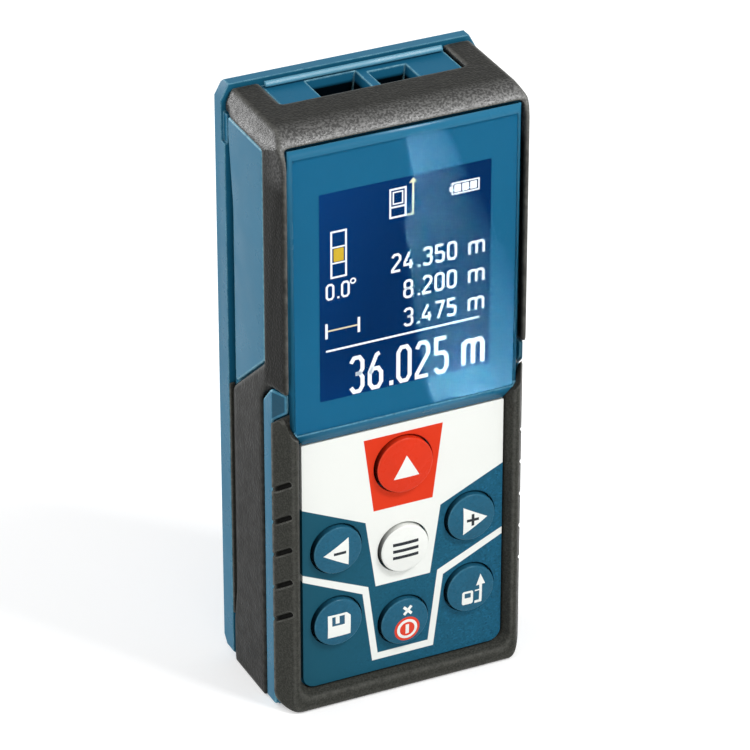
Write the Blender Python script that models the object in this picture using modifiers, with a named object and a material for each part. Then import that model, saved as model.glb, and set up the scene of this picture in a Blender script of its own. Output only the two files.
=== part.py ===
"""Hand-held laser distance meter, modelled as the separate pieces it is assembled from.

Units are metres. The foot stands on z = 0 with the origin at its middle, the beam leaves the
top along +Z, the keys face -Y and +X is to the user's right. The case is sized from what it
holds: the cells, the board, the display and the optics add up to its width, depth and height.
"""
import math
from typing import NamedTuple

import bmesh
import bpy
from mathutils import Matrix, Vector

OBJECT_NAME = "laser_distance_meter"

# Fits
CLEARANCE = 0.0003
OVERRUN = 0.0010
BLEND = 0.0002
MERGE_DISTANCE = 0.000001
FLAT_ANGLE = math.radians(0.5)

# Cells and their bay
CELL_DIAMETER = 0.0105
CELL_LENGTH = 0.0445
CELL_NUB_RADIUS = 0.0026
CELL_NUB_HEIGHT = 0.0010
CELL_EDGE = 0.0006
CELL_SPACING = 0.0004
CELL_LID_GAP = 0.0004
BAY_SIDE_ROOM = 0.0005
BAY_WALL = 0.0012
BAY_FLOOR = 0.0010
BAY_FOOT = 0.0038
CONTACT_THICKNESS = 0.0004
CONTACT_WIDTH = 0.0072
CONTACT_DEPTH = 0.0076
SPRING_HEIGHT = 0.0026
SPRING_WIRE_RADIUS = 0.00025
SPRING_BASE_RADIUS = 0.0031
SPRING_TIP_RADIUS = 0.0019
SPRING_TURNS = 2.5
SPRING_POINTS_PER_TURN = 10

# Battery lid and its latch
LID_THICKNESS = 0.0012
LID_LEDGE = 0.0020
LID_HEAD = 0.0029
LID_FOOT = 0.0013
HOOK_OFFSET = 0.0080
HOOK_WIDTH = 0.0040
HOOK_LENGTH = 0.0009
HOOK_ROOT = 0.0006
HOOK_DEPTH = 0.0009
HOOK_GRIP = 0.0004
LATCH_HALF_WIDTH = 0.0050
LATCH_LENGTH = 0.0058
LATCH_TRAVEL = 0.0008

# Case shells
CASE_SETBACK = 0.0029
CASE_PLATE = 0.0012
CASE_WALL = 0.0015
CASE_FOOT = 0.0015
CASE_HEAD = 0.0024
SKIN_RECESS = 0.0003
REAR_RIM = 0.0038
REAR_WALL = 0.0016
REAR_PLATE = 0.0026
REAR_CORNER_WIDTH = 0.0014
REAR_CORNER_HEIGHT = 0.0026
REAR_FOOT_DEPTH = 0.0023
REAR_FOOT_HEIGHT = 0.0028
REAR_TOP_STRIP = 0.0025
REAR_EDGE = 0.0005
LABEL_HALF_WIDTH = 0.0130
LABEL_BOTTOM_MARGIN = 0.0020
LABEL_TOP_MARGIN = 0.0095
LABEL_DEPTH = 0.0003
LABEL_CORNER = 0.0015
SIDE_SLOT_LENGTH = 0.0050
SIDE_SLOT_WIDTH = 0.0013
SIDE_SLOT_DEPTH = 0.0005

# Case screws and the posts that take them
SCREW_OFFSET = 0.0045
POST_RADIUS = 0.0020
POST_LOW = 0.0075
POST_TOP_MARGIN = 0.0060
POST_BORE_DEPTH = 0.0080
CASE_SCREW_RADIUS = 0.0008
CASE_SCREW_LENGTH = 0.0080
CASE_HEAD_RADIUS = 0.0020
CASE_HEAD_HEIGHT = 0.0011
CASE_HEAD_SOCKET_RADIUS = 0.0009
CASE_HEAD_SOCKET_DEPTH = 0.0006
HEAD_ROUND = 0.0003
COUNTERBORE_FLOOR = 0.0009

# Board and the small screws that hold it and the optics
BOARD_THICKNESS = 0.0012
BOARD_EDGE = 0.0008
BOARD_END_MARGIN = 0.0009
SMALL_SCREW_RADIUS = 0.0006
SMALL_SCREW_GRIP = 0.0026
SMALL_HEAD_RADIUS = 0.0014
SMALL_HEAD_HEIGHT = 0.0008
SMALL_HEAD_SOCKET_RADIUS = 0.0006
SMALL_HEAD_SOCKET_DEPTH = 0.0004
SMALL_BOSS_WALL = 0.0009
BOARD_SCREW_INSET = 0.0039

# Components on the board
PROCESSOR_WIDTH = 0.0065
PROCESSOR_HEIGHT = 0.0010
SHIELD_WIDTH = 0.0075
SHIELD_HEIGHT = 0.0018
CHIP_OFFSET = 0.0098
BUZZER_RADIUS = 0.0040
BUZZER_HEIGHT = 0.0030
BUZZER_PORT_RADIUS = 0.0010
BUZZER_PORT_DEPTH = 0.0012
TILT_WIDTH = 0.0020
TILT_HEIGHT = 0.0009
TILT_DROP = 0.0020
CONNECTOR_HALF_WIDTH = 0.0065
CONNECTOR_LENGTH = 0.0020
CONNECTOR_HEIGHT = 0.0009
CONNECTOR_RISE = 0.0037
RIBBON_HALF_WIDTH = 0.0060
RIBBON_THICKNESS = 0.0003
DOME_RADIUS = 0.0022
DOME_HEIGHT = 0.0005
DOME_EDGE = 0.0001

# Display
COVER_SETBACK = 0.0007
COVER_SIDE_GAP = 0.0007
COVER_HEAD = 0.0030
COVER_EDGE_WIDTH = 0.0006
COVER_EDGE_DEPTH = 0.0007
COVER_CORNER_WIDTH = 0.0024
COVER_CORNER_HEIGHT = 0.0041
COVER_LIP_HEIGHT = 0.0022
COVER_LIP_DEPTH = 0.0009
COVER_TOP_HEIGHT = 0.0014
COVER_TOP_DEPTH = 0.0005
SCREEN_SIDE = 0.0053
SCREEN_FOOT = 0.0074
OPENING_MARGIN = 0.0004
PANEL_MARGIN = 0.0010
GASKET_WIDTH = 0.0010
GASKET_THICKNESS = 0.0005
PANEL_THICKNESS = 0.0011
BACKLIGHT_THICKNESS = 0.0011
FRAME_WALL = 0.0007
FRAME_HEAD_GAP = 0.0010

# Keypad
KEYPAD_SETBACK = 0.0016
KEYPAD_FOOT = 0.0036
KEYPAD_HEAD = 0.0026
KEYPAD_CORNER = 0.0022
BUTTON_RADIUS = 0.0043
MEASURE_RADIUS = 0.0050
BUTTON_EDGE = 0.0060
BUTTON_CROWN = 0.0007
BUTTON_SHOULDER = 0.0004
BUTTON_ROUND = 0.0004
BUTTON_FLANGE = 0.0006
BUTTON_FLANGE_THICKNESS = 0.0007
BUTTON_STEM_RADIUS = 0.0016
BUTTON_TRAVEL = 0.0005
POWER_ROW = 0.0087
FUNCTION_PITCH = 0.0141
MEASURE_PITCH = 0.0158
MEMORY_LIFT = 0.0031
PLUS_MINUS_LIFT = 0.0028

# Rubber: side grips, arch and lower frame
GRIP_THICKNESS = 0.0012
ARCH_DROP = 0.0005
ARCH_BAND = 0.0038
ARCH_SETBACK = 0.0002
ARCH_RADIUS = 0.0055
ARCH_LEG_DEPTH = 0.0061
ARCH_SHOULDER_WIDTH = 0.0017
ARCH_SHOULDER_HEIGHT = 0.0035
ARCH_BEVEL_WIDTH = 0.0011
ARCH_BEVEL_DEPTH = 0.0038
GRIP_RISE = 0.0039
GRIP_SLOPE_HEIGHT = 0.0116
VALLEY_LENGTH = 0.0020
VALLEY_DEPTH = 0.0006
LOWER_FRAME_WIDTH = 0.0041
LOWER_FRAME_DEPTH = 0.0036
LOWER_FRAME_CORNER = 0.0034
LOWER_BEVEL_WIDTH = 0.0022
WELL_FLARE = 0.0010
GROOVE_COUNT = 5
GROOVE_FIRST = 0.0185
GROOVE_PITCH = 0.00615
GROOVE_WIDTH = 0.0009
GROOVE_DEPTH = 0.00035
GROOVE_INSET = 0.0003
GROOVE_TILT = 32
FRAME_TIP_WIDTH = 0.0019
FRAME_TIP_RISE = 0.0032
FRAME_TIP_NOTCH = 0.0012

# Blue rib between the rubber parts, with its hook round to the front
RIB_WIDTH = 0.0034
RIB_FOOT = 0.0003
HOOK_HEIGHT = 0.0058
HOOK_SLOPE_HEIGHT = 0.0034
HOOK_FRONT_SETBACK = 0.0005

# Tripod socket
INSERT_RADIUS = 0.0043
INSERT_BORE_RADIUS = 0.003175
INSERT_LENGTH = 0.0060
INSERT_SETBACK = 0.0002
INSERT_CHAMFER = 0.0004
SOCKET_MARGIN = 0.0007
SOCKET_WALL = 0.0008
SOCKET_FLOOR = 0.0010

# Optics and the bezel at the beam end
SENSOR_BOARD_GAP = 0.0004
SENSOR_BOARD_THICKNESS = 0.0008
SENSOR_BOARD_MARGIN = 0.0014
CARRIER_LENGTH = 0.0295
CARRIER_HALF_WIDTH = 0.0104
CARRIER_WALL = 0.0007
CARRIER_TAB_EDGE = 0.0018
CARRIER_TAB_THICKNESS = 0.0015
CARRIER_TAB_DROP = 0.0040
CARRIER_SCREW_GAP = 0.0005
CARRIER_SCREW_MARGIN = 0.0019
LENS_RADIUS = 0.0036
LENS_THICKNESS = 0.0024
LENS_EDGE = 0.0010
LENS_SINK = 0.0008
LENS_SHOULDER = 0.0007
DETECTOR_FLANGE_RADIUS = 0.0025
DETECTOR_FLANGE_HEIGHT = 0.0010
DETECTOR_CAN_RADIUS = 0.0020
DETECTOR_CAN_HEIGHT = 0.0017
DETECTOR_HOLE_DEPTH = 0.0030
BARREL_RADIUS = 0.0028
BARREL_WALL = 0.0008
BARREL_SINK = 0.0006
COLLIMATOR_THICKNESS = 0.0016
COLLIMATOR_EDGE = 0.0008
COLLIMATOR_SINK = 0.0018
LASER_FLANGE_RADIUS = 0.0026
LASER_FLANGE_HEIGHT = 0.0012
LASER_CAN_RADIUS = 0.0016
LASER_CAN_HEIGHT = 0.0030
BEZEL_GAP = 0.0006
BEZEL_HEIGHT = 0.0052
BEZEL_DROP = 0.0012
BEZEL_SIDE = 0.0052
BEZEL_PLATE = 0.0022
BEZEL_CORE_HALF_WIDTH = 0.0120
BEZEL_WALL = 0.0004
BEZEL_BACK_GAP = 0.0004
WINDOW_THICKNESS = 0.0010
WINDOW_LAP = 0.0006
RECEIVER_X = -0.0044
RECEIVER_WIDTH = 0.0088
RECEIVER_DEPTH = 0.0064
BEAM_X = 0.00495
BEAM_WIDTH = 0.0067
BEAM_DEPTH = 0.0052
POCKET_TAPER = 0.0009

# Smoothness of round shapes
ROUND_STEPS = 24
SMALL_STEPS = 12
ARC_STEPS = 6
BULGE_STEPS = 3

# Width, from the cells out to the grips
CELL_RADIUS = CELL_DIAMETER / 2
CELL_X = CELL_RADIUS + CELL_SPACING / 2
BAY_HALF = CELL_DIAMETER + CELL_SPACING / 2 + BAY_SIDE_ROOM
LID_RECESS_HALF = BAY_HALF + LID_LEDGE
LID_HALF = LID_RECESS_HALF - CLEARANCE
POST_X = LID_RECESS_HALF + SCREW_OFFSET
CASE_INNER_HALF = POST_X + POST_RADIUS - BLEND
CASE_HALF = CASE_INNER_HALF + CASE_WALL
GRIP_INNER_HALF = CASE_HALF + CLEARANCE
HALF_WIDTH = GRIP_INNER_HALF + GRIP_THICKNESS
SKIN_HALF = HALF_WIDTH - SKIN_RECESS
COVER_HALF = CASE_HALF - COVER_SIDE_GAP
SCREEN_HALF = COVER_HALF - SCREEN_SIDE
BOARD_HALF = POST_X - POST_RADIUS - BOARD_EDGE
BEZEL_HALF = CASE_HALF - BEZEL_SIDE

# Depth, from the front rim to the back of the lid
DISPLAY_STACK = 4 * CLEARANCE + GASKET_THICKNESS + PANEL_THICKNESS + BACKLIGHT_THICKNESS
HEAD_ROOM = SMALL_HEAD_HEIGHT + 2 * CLEARANCE
FRONT_STACK = CASE_SETBACK + CASE_PLATE + DISPLAY_STACK + BOARD_THICKNESS + HEAD_ROOM
CELL_STACK = BAY_FLOOR + CLEARANCE + CELL_DIAMETER + CELL_LID_GAP + LID_THICKNESS
BODY_DEPTH = FRONT_STACK + CELL_STACK
FRONT = -BODY_DEPTH / 2
BACK = BODY_DEPTH / 2
CASE_FACE = FRONT + CASE_SETBACK
PLATE_BACK = CASE_FACE + CASE_PLATE
GASKET_FRONT = PLATE_BACK + CLEARANCE
PANEL_FRONT = GASKET_FRONT + GASKET_THICKNESS + CLEARANCE
BACKLIGHT_FRONT = PANEL_FRONT + PANEL_THICKNESS + CLEARANCE
BOARD_FRONT = PLATE_BACK + DISPLAY_STACK
BOARD_BACK = BOARD_FRONT + BOARD_THICKNESS
CHIP_FRONT = BOARD_BACK + CLEARANCE
BAY_FRONT = FRONT + FRONT_STACK
CELL_Y = BAY_FRONT + BAY_FLOOR + CLEARANCE + CELL_RADIUS
LID_FRONT = BACK - LID_THICKNESS
LID_SEAT = LID_FRONT - CLEARANCE
REAR_RIM_FRONT = BACK - REAR_RIM
REAR_PLATE_FRONT = BACK - REAR_PLATE
CASE_BACK = REAR_RIM_FRONT - CLEARANCE
COVER_FACE = FRONT + COVER_SETBACK
COVER_BACK = CASE_FACE - CLEARANCE
KEYPAD_FACE = FRONT + KEYPAD_SETBACK
KEYPAD_BACK = CASE_FACE - CLEARANCE
ARCH_FRONT = FRONT + ARCH_SETBACK
ARCH_LEG_BACK = FRONT + ARCH_LEG_DEPTH
REAR_STRIP_FRONT = BACK - REAR_TOP_STRIP
ARCH_BACK = REAR_STRIP_FRONT - CLEARANCE
LOWER_FRAME_BACK = FRONT + LOWER_FRAME_DEPTH
RIB_FRONT = LOWER_FRAME_BACK + CLEARANCE
RIB_BACK = RIB_FRONT + RIB_WIDTH
GRIP_FRONT = RIB_BACK + CLEARANCE
HOOK_FRONT = FRONT + HOOK_FRONT_SETBACK
CARRIER_BACK = REAR_PLATE_FRONT - CLEARANCE
LENS_BORE = LENS_RADIUS + CLEARANCE
RECEIVER_Y = CARRIER_BACK - CARRIER_WALL - LENS_BORE
POCKET_FRONT = RECEIVER_Y - RECEIVER_DEPTH / 2
BEAM_Y = POCKET_FRONT + BEAM_DEPTH / 2
BEZEL_FRONT = POCKET_FRONT - BEZEL_WALL
BEZEL_BACK = min(REAR_STRIP_FRONT, REAR_PLATE_FRONT) - BEZEL_BACK_GAP

# Height, from the foot to the beam end
BAY_BOTTOM = BAY_FOOT + BAY_WALL
BAY_LENGTH = 5 * CLEARANCE + 2 * CONTACT_THICKNESS + SPRING_HEIGHT + CELL_LENGTH
BAY_TOP = BAY_BOTTOM + BAY_LENGTH
LID_RECESS_BOTTOM = BAY_BOTTOM - LID_FOOT
LID_RECESS_TOP = BAY_TOP + LID_HEAD
LID_BOTTOM = LID_RECESS_BOTTOM + CLEARANCE
LID_TOP = LID_RECESS_TOP - CLEARANCE
SOCKET_RADIUS = INSERT_RADIUS + CLEARANCE
SOCKET_BOSS_RADIUS = SOCKET_RADIUS + SOCKET_WALL
SOCKET_Z = LID_RECESS_TOP + SOCKET_MARGIN + SOCKET_RADIUS
SENSOR_BOARD_BOTTOM = SOCKET_Z + SOCKET_BOSS_RADIUS + SENSOR_BOARD_GAP
SENSOR_BOARD_TOP = SENSOR_BOARD_BOTTOM + SENSOR_BOARD_THICKNESS
CARRIER_BOTTOM = SENSOR_BOARD_TOP + CLEARANCE
CARRIER_TOP = CARRIER_BOTTOM + CARRIER_LENGTH
BEZEL_BOTTOM = CARRIER_TOP + BEZEL_GAP
BEZEL_TOP = BEZEL_BOTTOM + BEZEL_HEIGHT
BODY_HEIGHT = BEZEL_TOP + BEZEL_DROP
CASE_TOP = BODY_HEIGHT - CASE_HEAD
CASE_CEILING = CASE_TOP - CASE_WALL
ARCH_TOP = BODY_HEIGHT - ARCH_DROP
ARCH_BAND_BOTTOM = ARCH_TOP - ARCH_BAND
POWER_Z = KEYPAD_FOOT + POWER_ROW
MEMORY_Z = POWER_Z + MEMORY_LIFT
FUNCTION_Z = POWER_Z + FUNCTION_PITCH
PLUS_MINUS_Z = FUNCTION_Z + PLUS_MINUS_LIFT
MEASURE_Z = FUNCTION_Z + MEASURE_PITCH
KEYPAD_TOP = MEASURE_Z + MEASURE_RADIUS + KEYPAD_HEAD
COVER_BOTTOM = KEYPAD_TOP + CLEARANCE
COVER_TOP = BODY_HEIGHT - COVER_HEAD
LOWER_FRAME_TOP = COVER_BOTTOM + COVER_CORNER_HEIGHT
FRAME_TIP_SLOPE = FRAME_TIP_RISE / LOWER_FRAME_DEPTH
HOOK_TOP = LOWER_FRAME_TOP + HOOK_HEIGHT
GRIP_FRONT_TOP = HOOK_TOP + GRIP_RISE
GRIP_BACK_TOP = GRIP_FRONT_TOP - GRIP_SLOPE_HEIGHT
BOARD_BOTTOM = CASE_FOOT + CASE_WALL + BOARD_END_MARGIN
BOARD_TOP = CASE_CEILING - BOARD_END_MARGIN
POST_HIGH = BODY_HEIGHT - POST_TOP_MARGIN
BOARD_SCREW_X = BOARD_HALF - BOARD_SCREW_INSET
CARRIER_SCREW_X = CARRIER_HALF_WIDTH + CARRIER_SCREW_GAP + SMALL_HEAD_RADIUS
CARRIER_TAB_HALF_WIDTH = CARRIER_SCREW_X + CARRIER_TAB_EDGE
CARRIER_SCREW_Z = BOARD_TOP - CARRIER_SCREW_MARGIN
CARRIER_TAB_BOTTOM = CARRIER_TOP - CARRIER_TAB_DROP
SMALL_BORE = SMALL_SCREW_RADIUS + CLEARANCE
SMALL_BOSS_RADIUS = SMALL_BORE + SMALL_BOSS_WALL
FRAME_RIM = PANEL_MARGIN + CLEARANCE + FRAME_WALL
SCREEN_BOTTOM = COVER_BOTTOM + SCREEN_FOOT
SCREEN_TOP = CARRIER_SCREW_Z - SMALL_BOSS_RADIUS - FRAME_HEAD_GAP - FRAME_RIM

# Keypad across
KEYPAD_WELL_HALF = HALF_WIDTH - LOWER_FRAME_WIDTH
KEYPAD_HALF = KEYPAD_WELL_HALF - CLEARANCE
BUTTON_COLUMN = KEYPAD_HALF - BUTTON_EDGE


class Finish(NamedTuple):
    """Colour, roughness and metallic value of one material."""

    colour: tuple
    roughness: float
    metallic: float


FINISHES = {
    "blue_plastic": Finish((0.022, 0.130, 0.240), 0.45, 0.0),
    "black_rubber": Finish((0.028, 0.027, 0.026), 0.80, 0.0),
    "window_glass": Finish((0.030, 0.110, 0.190), 0.06, 0.0),
    "printed_panel": Finish((0.030, 0.170, 0.270), 0.40, 0.0),
    "red_key": Finish((0.700, 0.040, 0.015), 0.25, 0.0),
    "blue_key": Finish((0.030, 0.190, 0.300), 0.35, 0.0),
    "white_key": Finish((0.800, 0.810, 0.800), 0.35, 0.0),
    "screen": Finish((0.004, 0.020, 0.100), 0.20, 0.0),
    "light_guide": Finish((0.800, 0.820, 0.830), 0.50, 0.0),
    "black_plastic": Finish((0.020, 0.020, 0.021), 0.55, 0.0),
    "foam": Finish((0.030, 0.030, 0.030), 0.90, 0.0),
    "board": Finish((0.010, 0.090, 0.030), 0.45, 0.0),
    "polyimide": Finish((0.450, 0.180, 0.030), 0.40, 0.0),
    "tin": Finish((0.620, 0.630, 0.640), 0.35, 1.0),
    "steel": Finish((0.560, 0.560, 0.570), 0.30, 1.0),
    "brass": Finish((0.720, 0.480, 0.170), 0.30, 1.0),
    "lens_glass": Finish((0.300, 0.340, 0.360), 0.03, 0.0),
    "cell_sleeve": Finish((0.060, 0.065, 0.072), 0.40, 0.0),
}

PLANES = {
    "XY": (Vector((1, 0, 0)), Vector((0, 1, 0)), Vector((0, 0, 1))),
    "XZ": (Vector((1, 0, 0)), Vector((0, 0, 1)), Vector((0, -1, 0))),
    "YZ": (Vector((0, 1, 0)), Vector((0, 0, 1)), Vector((1, 0, 0))),
}
TURNS_TO = {
    "+Z": Matrix.Identity(4),
    "-Z": Matrix.Rotation(math.pi, 4, "X"),
    "-Y": Matrix.Rotation(math.pi / 2, 4, "X"),
    "+Y": Matrix.Rotation(-math.pi / 2, 4, "X"),
}


def clear_scene():
    """Remove the objects that the file starts with."""
    for leftover in list(bpy.data.objects):
        bpy.data.objects.remove(leftover)


def new_collection(name):
    """Add a collection to the scene."""
    collection = bpy.data.collections.new(name)
    bpy.context.scene.collection.children.link(collection)
    return collection


clear_scene()
PARTS = new_collection(OBJECT_NAME)
CUTTERS = new_collection(OBJECT_NAME + "_cutters")
ROOT = bpy.data.objects.new(OBJECT_NAME, None)
PARTS.objects.link(ROOT)


def add_object(name, mesh):
    """Link a mesh as an object under the root empty."""
    item = bpy.data.objects.new(name, mesh)
    PARTS.objects.link(item)
    item.parent = ROOT
    return item


def from_bmesh(name, shape):
    """Turn a finished bmesh into an object."""
    mesh = bpy.data.meshes.new(name)
    shape.to_mesh(mesh)
    shape.free()
    return add_object(name, mesh)


def box(name, low, high):
    """Block between two opposite corners."""
    low = Vector(low)
    high = Vector(high)
    shape = bmesh.new()
    bmesh.ops.create_cube(shape, size=1.0)
    bmesh.ops.scale(shape, vec=high - low, verts=shape.verts)
    bmesh.ops.translate(shape, vec=(low + high) / 2, verts=shape.verts)
    return from_bmesh(name, shape)


def rod(name, direction, base, radius, length, steps=ROUND_STEPS):
    """Round bar from a base point along one of the directions in TURNS_TO."""
    shape = bmesh.new()
    bmesh.ops.create_cone(
        shape, cap_ends=True, segments=steps, radius1=radius, radius2=radius, depth=length
    )
    bmesh.ops.translate(shape, vec=(0, 0, length / 2), verts=shape.verts)
    shape.transform(Matrix.Translation(base) @ TURNS_TO[direction])
    return from_bmesh(name, shape)


def prism(name, outlines, plane, low, high):
    """Flat outlines, filled and extruded from one level to another across their plane."""
    curve = bpy.data.curves.new(name, "CURVE")
    curve.dimensions = "2D"
    curve.fill_mode = "BOTH"
    curve.extrude = (high - low) / 2
    for outline in outlines:
        spline = curve.splines.new("POLY")
        spline.points.add(len(outline) - 1)
        for point, (across, up) in zip(spline.points, outline):
            point.co = (across, up, 0.0, 1.0)
        spline.use_cyclic_u = True
    flat = bpy.data.objects.new(name, curve)
    PARTS.objects.link(flat)
    bpy.context.view_layer.update()
    drawn = flat.evaluated_get(bpy.context.evaluated_depsgraph_get())
    shape = bmesh.new()
    filled = bpy.data.meshes.new_from_object(drawn)
    shape.from_mesh(filled)
    bpy.data.meshes.remove(filled)
    bpy.data.objects.remove(flat)
    bpy.data.curves.remove(curve)
    bmesh.ops.remove_doubles(shape, verts=shape.verts, dist=MERGE_DISTANCE)
    bmesh.ops.dissolve_limit(shape, angle_limit=FLAT_ANGLE, verts=shape.verts, edges=shape.edges)
    right, up, out = PLANES[plane]
    turn = Matrix((right, up, out)).transposed().to_4x4()
    middle = Vector((abs(out.x), abs(out.y), abs(out.z))) * (low + high) / 2
    shape.transform(Matrix.Translation(middle) @ turn)
    bmesh.ops.recalc_face_normals(shape, faces=shape.faces)
    return from_bmesh(name, shape)


def turned(name, profile, place, direction, steps=ROUND_STEPS, closed=False):
    """Turn a profile of (radius, height) points, listed top to bottom on the outer side."""
    shape = bmesh.new()
    points = [shape.verts.new((radius, 0.0, height)) for radius, height in profile]
    for first, second in zip(points, points[1:]):
        shape.edges.new((first, second))
    if closed:
        shape.edges.new((points[-1], points[0]))
    item = from_bmesh(name, shape)
    item.matrix_world = Matrix.Translation(place) @ TURNS_TO[direction]
    spin = item.modifiers.new("turn", "SCREW")
    spin.steps = steps
    spin.render_steps = steps
    spin.use_merge_vertices = True
    spin.merge_threshold = MERGE_DISTANCE
    return item


def boolean(target, tool, operation):
    """Combine a tool with its target and put the tool among the cutters."""
    change = target.modifiers.new(tool.name, "BOOLEAN")
    change.operation = operation
    change.object = tool
    change.solver = "EXACT"
    PARTS.objects.unlink(tool)
    CUTTERS.objects.link(tool)
    tool.hide_render = True
    tool.display_type = "WIRE"


def cut(target, *tools):
    """Take each tool's space out of the target."""
    for tool in tools:
        boolean(target, tool, "DIFFERENCE")


def fuse(target, *tools):
    """Join each tool to the target."""
    for tool in tools:
        boolean(target, tool, "UNION")


def keep_inside(target, *tools):
    """Keep only what of the target lies inside every tool."""
    for tool in tools:
        boolean(target, tool, "INTERSECT")


def finish(item, finish_name):
    """Give an object its own material."""
    look = FINISHES[finish_name]
    material = bpy.data.materials.new(item.name + "_" + finish_name)
    material.use_nodes = True
    shader = material.node_tree.nodes["Principled BSDF"]
    shader.inputs["Base Color"].default_value = (*look.colour, 1.0)
    shader.inputs["Roughness"].default_value = look.roughness
    shader.inputs["Metallic"].default_value = look.metallic
    item.data.materials.append(material)
    return item


def move_origin(item, point):
    """Put an object's origin on its joint axis without moving its shape."""
    item.data.transform(Matrix.Translation(-Vector(point)))
    item.location = point


def arc(centre, radius, start, end, steps=ARC_STEPS):
    """Points along a circle between two angles in degrees."""
    sweep = [math.radians(start + (end - start) * step / steps) for step in range(steps + 1)]
    return [(centre[0] + radius * math.cos(turn), centre[1] + radius * math.sin(turn)) for turn in sweep]


def bulge(radius, middle, edge):
    """Points of a shallow parabola from its middle on the axis out to its edge."""
    shares = [step / BULGE_STEPS for step in range(BULGE_STEPS + 1)]
    return [(radius * share, middle + (edge - middle) * share ** 2) for share in shares]


def rectangle(half_width, bottom, top):
    """Outline of a rectangle centred across."""
    return [(-half_width, bottom), (half_width, bottom), (half_width, top), (-half_width, top)]


def rounded_rectangle(half_width, bottom, top, corner):
    """Outline of a rectangle with four round corners."""
    inner = half_width - corner
    return (
        arc((inner, bottom + corner), corner, -90, 0)
        + arc((inner, top - corner), corner, 0, 90)
        + arc((-inner, top - corner), corner, 90, 180)
        + arc((-inner, bottom + corner), corner, 180, 270)
    )


def mirrored(half_outline):
    """Whole outline from its right half, listed from bottom to top."""
    return half_outline + [(-across, up) for across, up in reversed(half_outline)]


def side_section(name, half_width, valley_depth, front, back):
    """Plan shape of the sides: bevelled at the front and drawn in to a valley at the back."""
    valley = CASE_BACK - VALLEY_LENGTH
    right = [
        (half_width - ARCH_BEVEL_WIDTH, front),
        (half_width, front + ARCH_BEVEL_DEPTH),
        (half_width, valley),
        (half_width - valley_depth, CASE_BACK),
        (half_width - valley_depth, back),
    ]
    return prism(name, [mirrored(right)], "XY", -OVERRUN, BODY_HEIGHT + OVERRUN)


def buttons():
    """Name, place and radius of every key, and its finish."""
    return [
        ("measure_button", 0.0, MEASURE_Z, MEASURE_RADIUS, "red_key"),
        ("function_button", 0.0, FUNCTION_Z, BUTTON_RADIUS, "white_key"),
        ("minus_button", -BUTTON_COLUMN, PLUS_MINUS_Z, BUTTON_RADIUS, "blue_key"),
        ("plus_button", BUTTON_COLUMN, PLUS_MINUS_Z, BUTTON_RADIUS, "blue_key"),
        ("memory_button", -BUTTON_COLUMN, MEMORY_Z, BUTTON_RADIUS, "blue_key"),
        ("power_button", 0.0, POWER_Z, BUTTON_RADIUS, "blue_key"),
        ("reference_button", BUTTON_COLUMN, MEMORY_Z, BUTTON_RADIUS, "blue_key"),
    ]


def post_places():
    """Where the four case screws stand."""
    return [(side * POST_X, height) for height in (POST_LOW, POST_HIGH) for side in (-1, 1)]


def small_screw_places():
    """Name and place of the board's and the carrier's screws."""
    return [
        ("board_screw_left", -BOARD_SCREW_X, MEASURE_Z),
        ("board_screw_right", BOARD_SCREW_X, MEASURE_Z),
        ("carrier_screw_left", -CARRIER_SCREW_X, CARRIER_SCREW_Z),
        ("carrier_screw_right", CARRIER_SCREW_X, CARRIER_SCREW_Z),
    ]


def frame_top(depth):
    """Height of the lower frame's slanted top end at a depth."""
    return LOWER_FRAME_TOP + FRAME_TIP_SLOPE * (LOWER_FRAME_BACK - depth)


def build_case_skin():
    """Blue side panels, ribs and hooks that show between the rubber parts."""
    panel_front = ARCH_LEG_BACK + CLEARANCE
    panel_back = CASE_BACK - CLEARANCE
    slope = (GRIP_FRONT_TOP - GRIP_BACK_TOP) / (CASE_BACK - ARCH_LEG_BACK)
    rise = CLEARANCE * math.hypot(1.0, slope)
    panel = [
        (panel_back, GRIP_BACK_TOP + rise + slope * CLEARANCE),
        (panel_back, ARCH_BAND_BOTTOM - CLEARANCE),
        (panel_front, ARCH_BAND_BOTTOM - CLEARANCE),
        (panel_front, GRIP_FRONT_TOP + rise - slope * CLEARANCE),
    ]
    tip_rise = CLEARANCE * math.hypot(1.0, FRAME_TIP_SLOPE)
    rib = [
        (RIB_BACK, RIB_FOOT),
        (RIB_BACK, HOOK_TOP - HOOK_SLOPE_HEIGHT),
        (RIB_FRONT, HOOK_TOP),
        (HOOK_FRONT, HOOK_TOP),
        (HOOK_FRONT, frame_top(HOOK_FRONT) + tip_rise),
        (RIB_FRONT, frame_top(RIB_FRONT) + tip_rise),
        (RIB_FRONT, RIB_FOOT),
    ]
    skin = prism("case_skin", [panel, rib], "YZ", -SKIN_HALF, SKIN_HALF)
    keep_inside(skin, side_section("case_skin_plan", SKIN_HALF, VALLEY_DEPTH, ARCH_FRONT, CASE_BACK))
    cut(skin, box(
        "case_skin_cover_room",
        (-COVER_HALF - CLEARANCE, FRONT - OVERRUN, -OVERRUN),
        (COVER_HALF + CLEARANCE, CASE_FACE + CASE_PLATE / 2, BODY_HEIGHT),
    ))
    return skin


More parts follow.
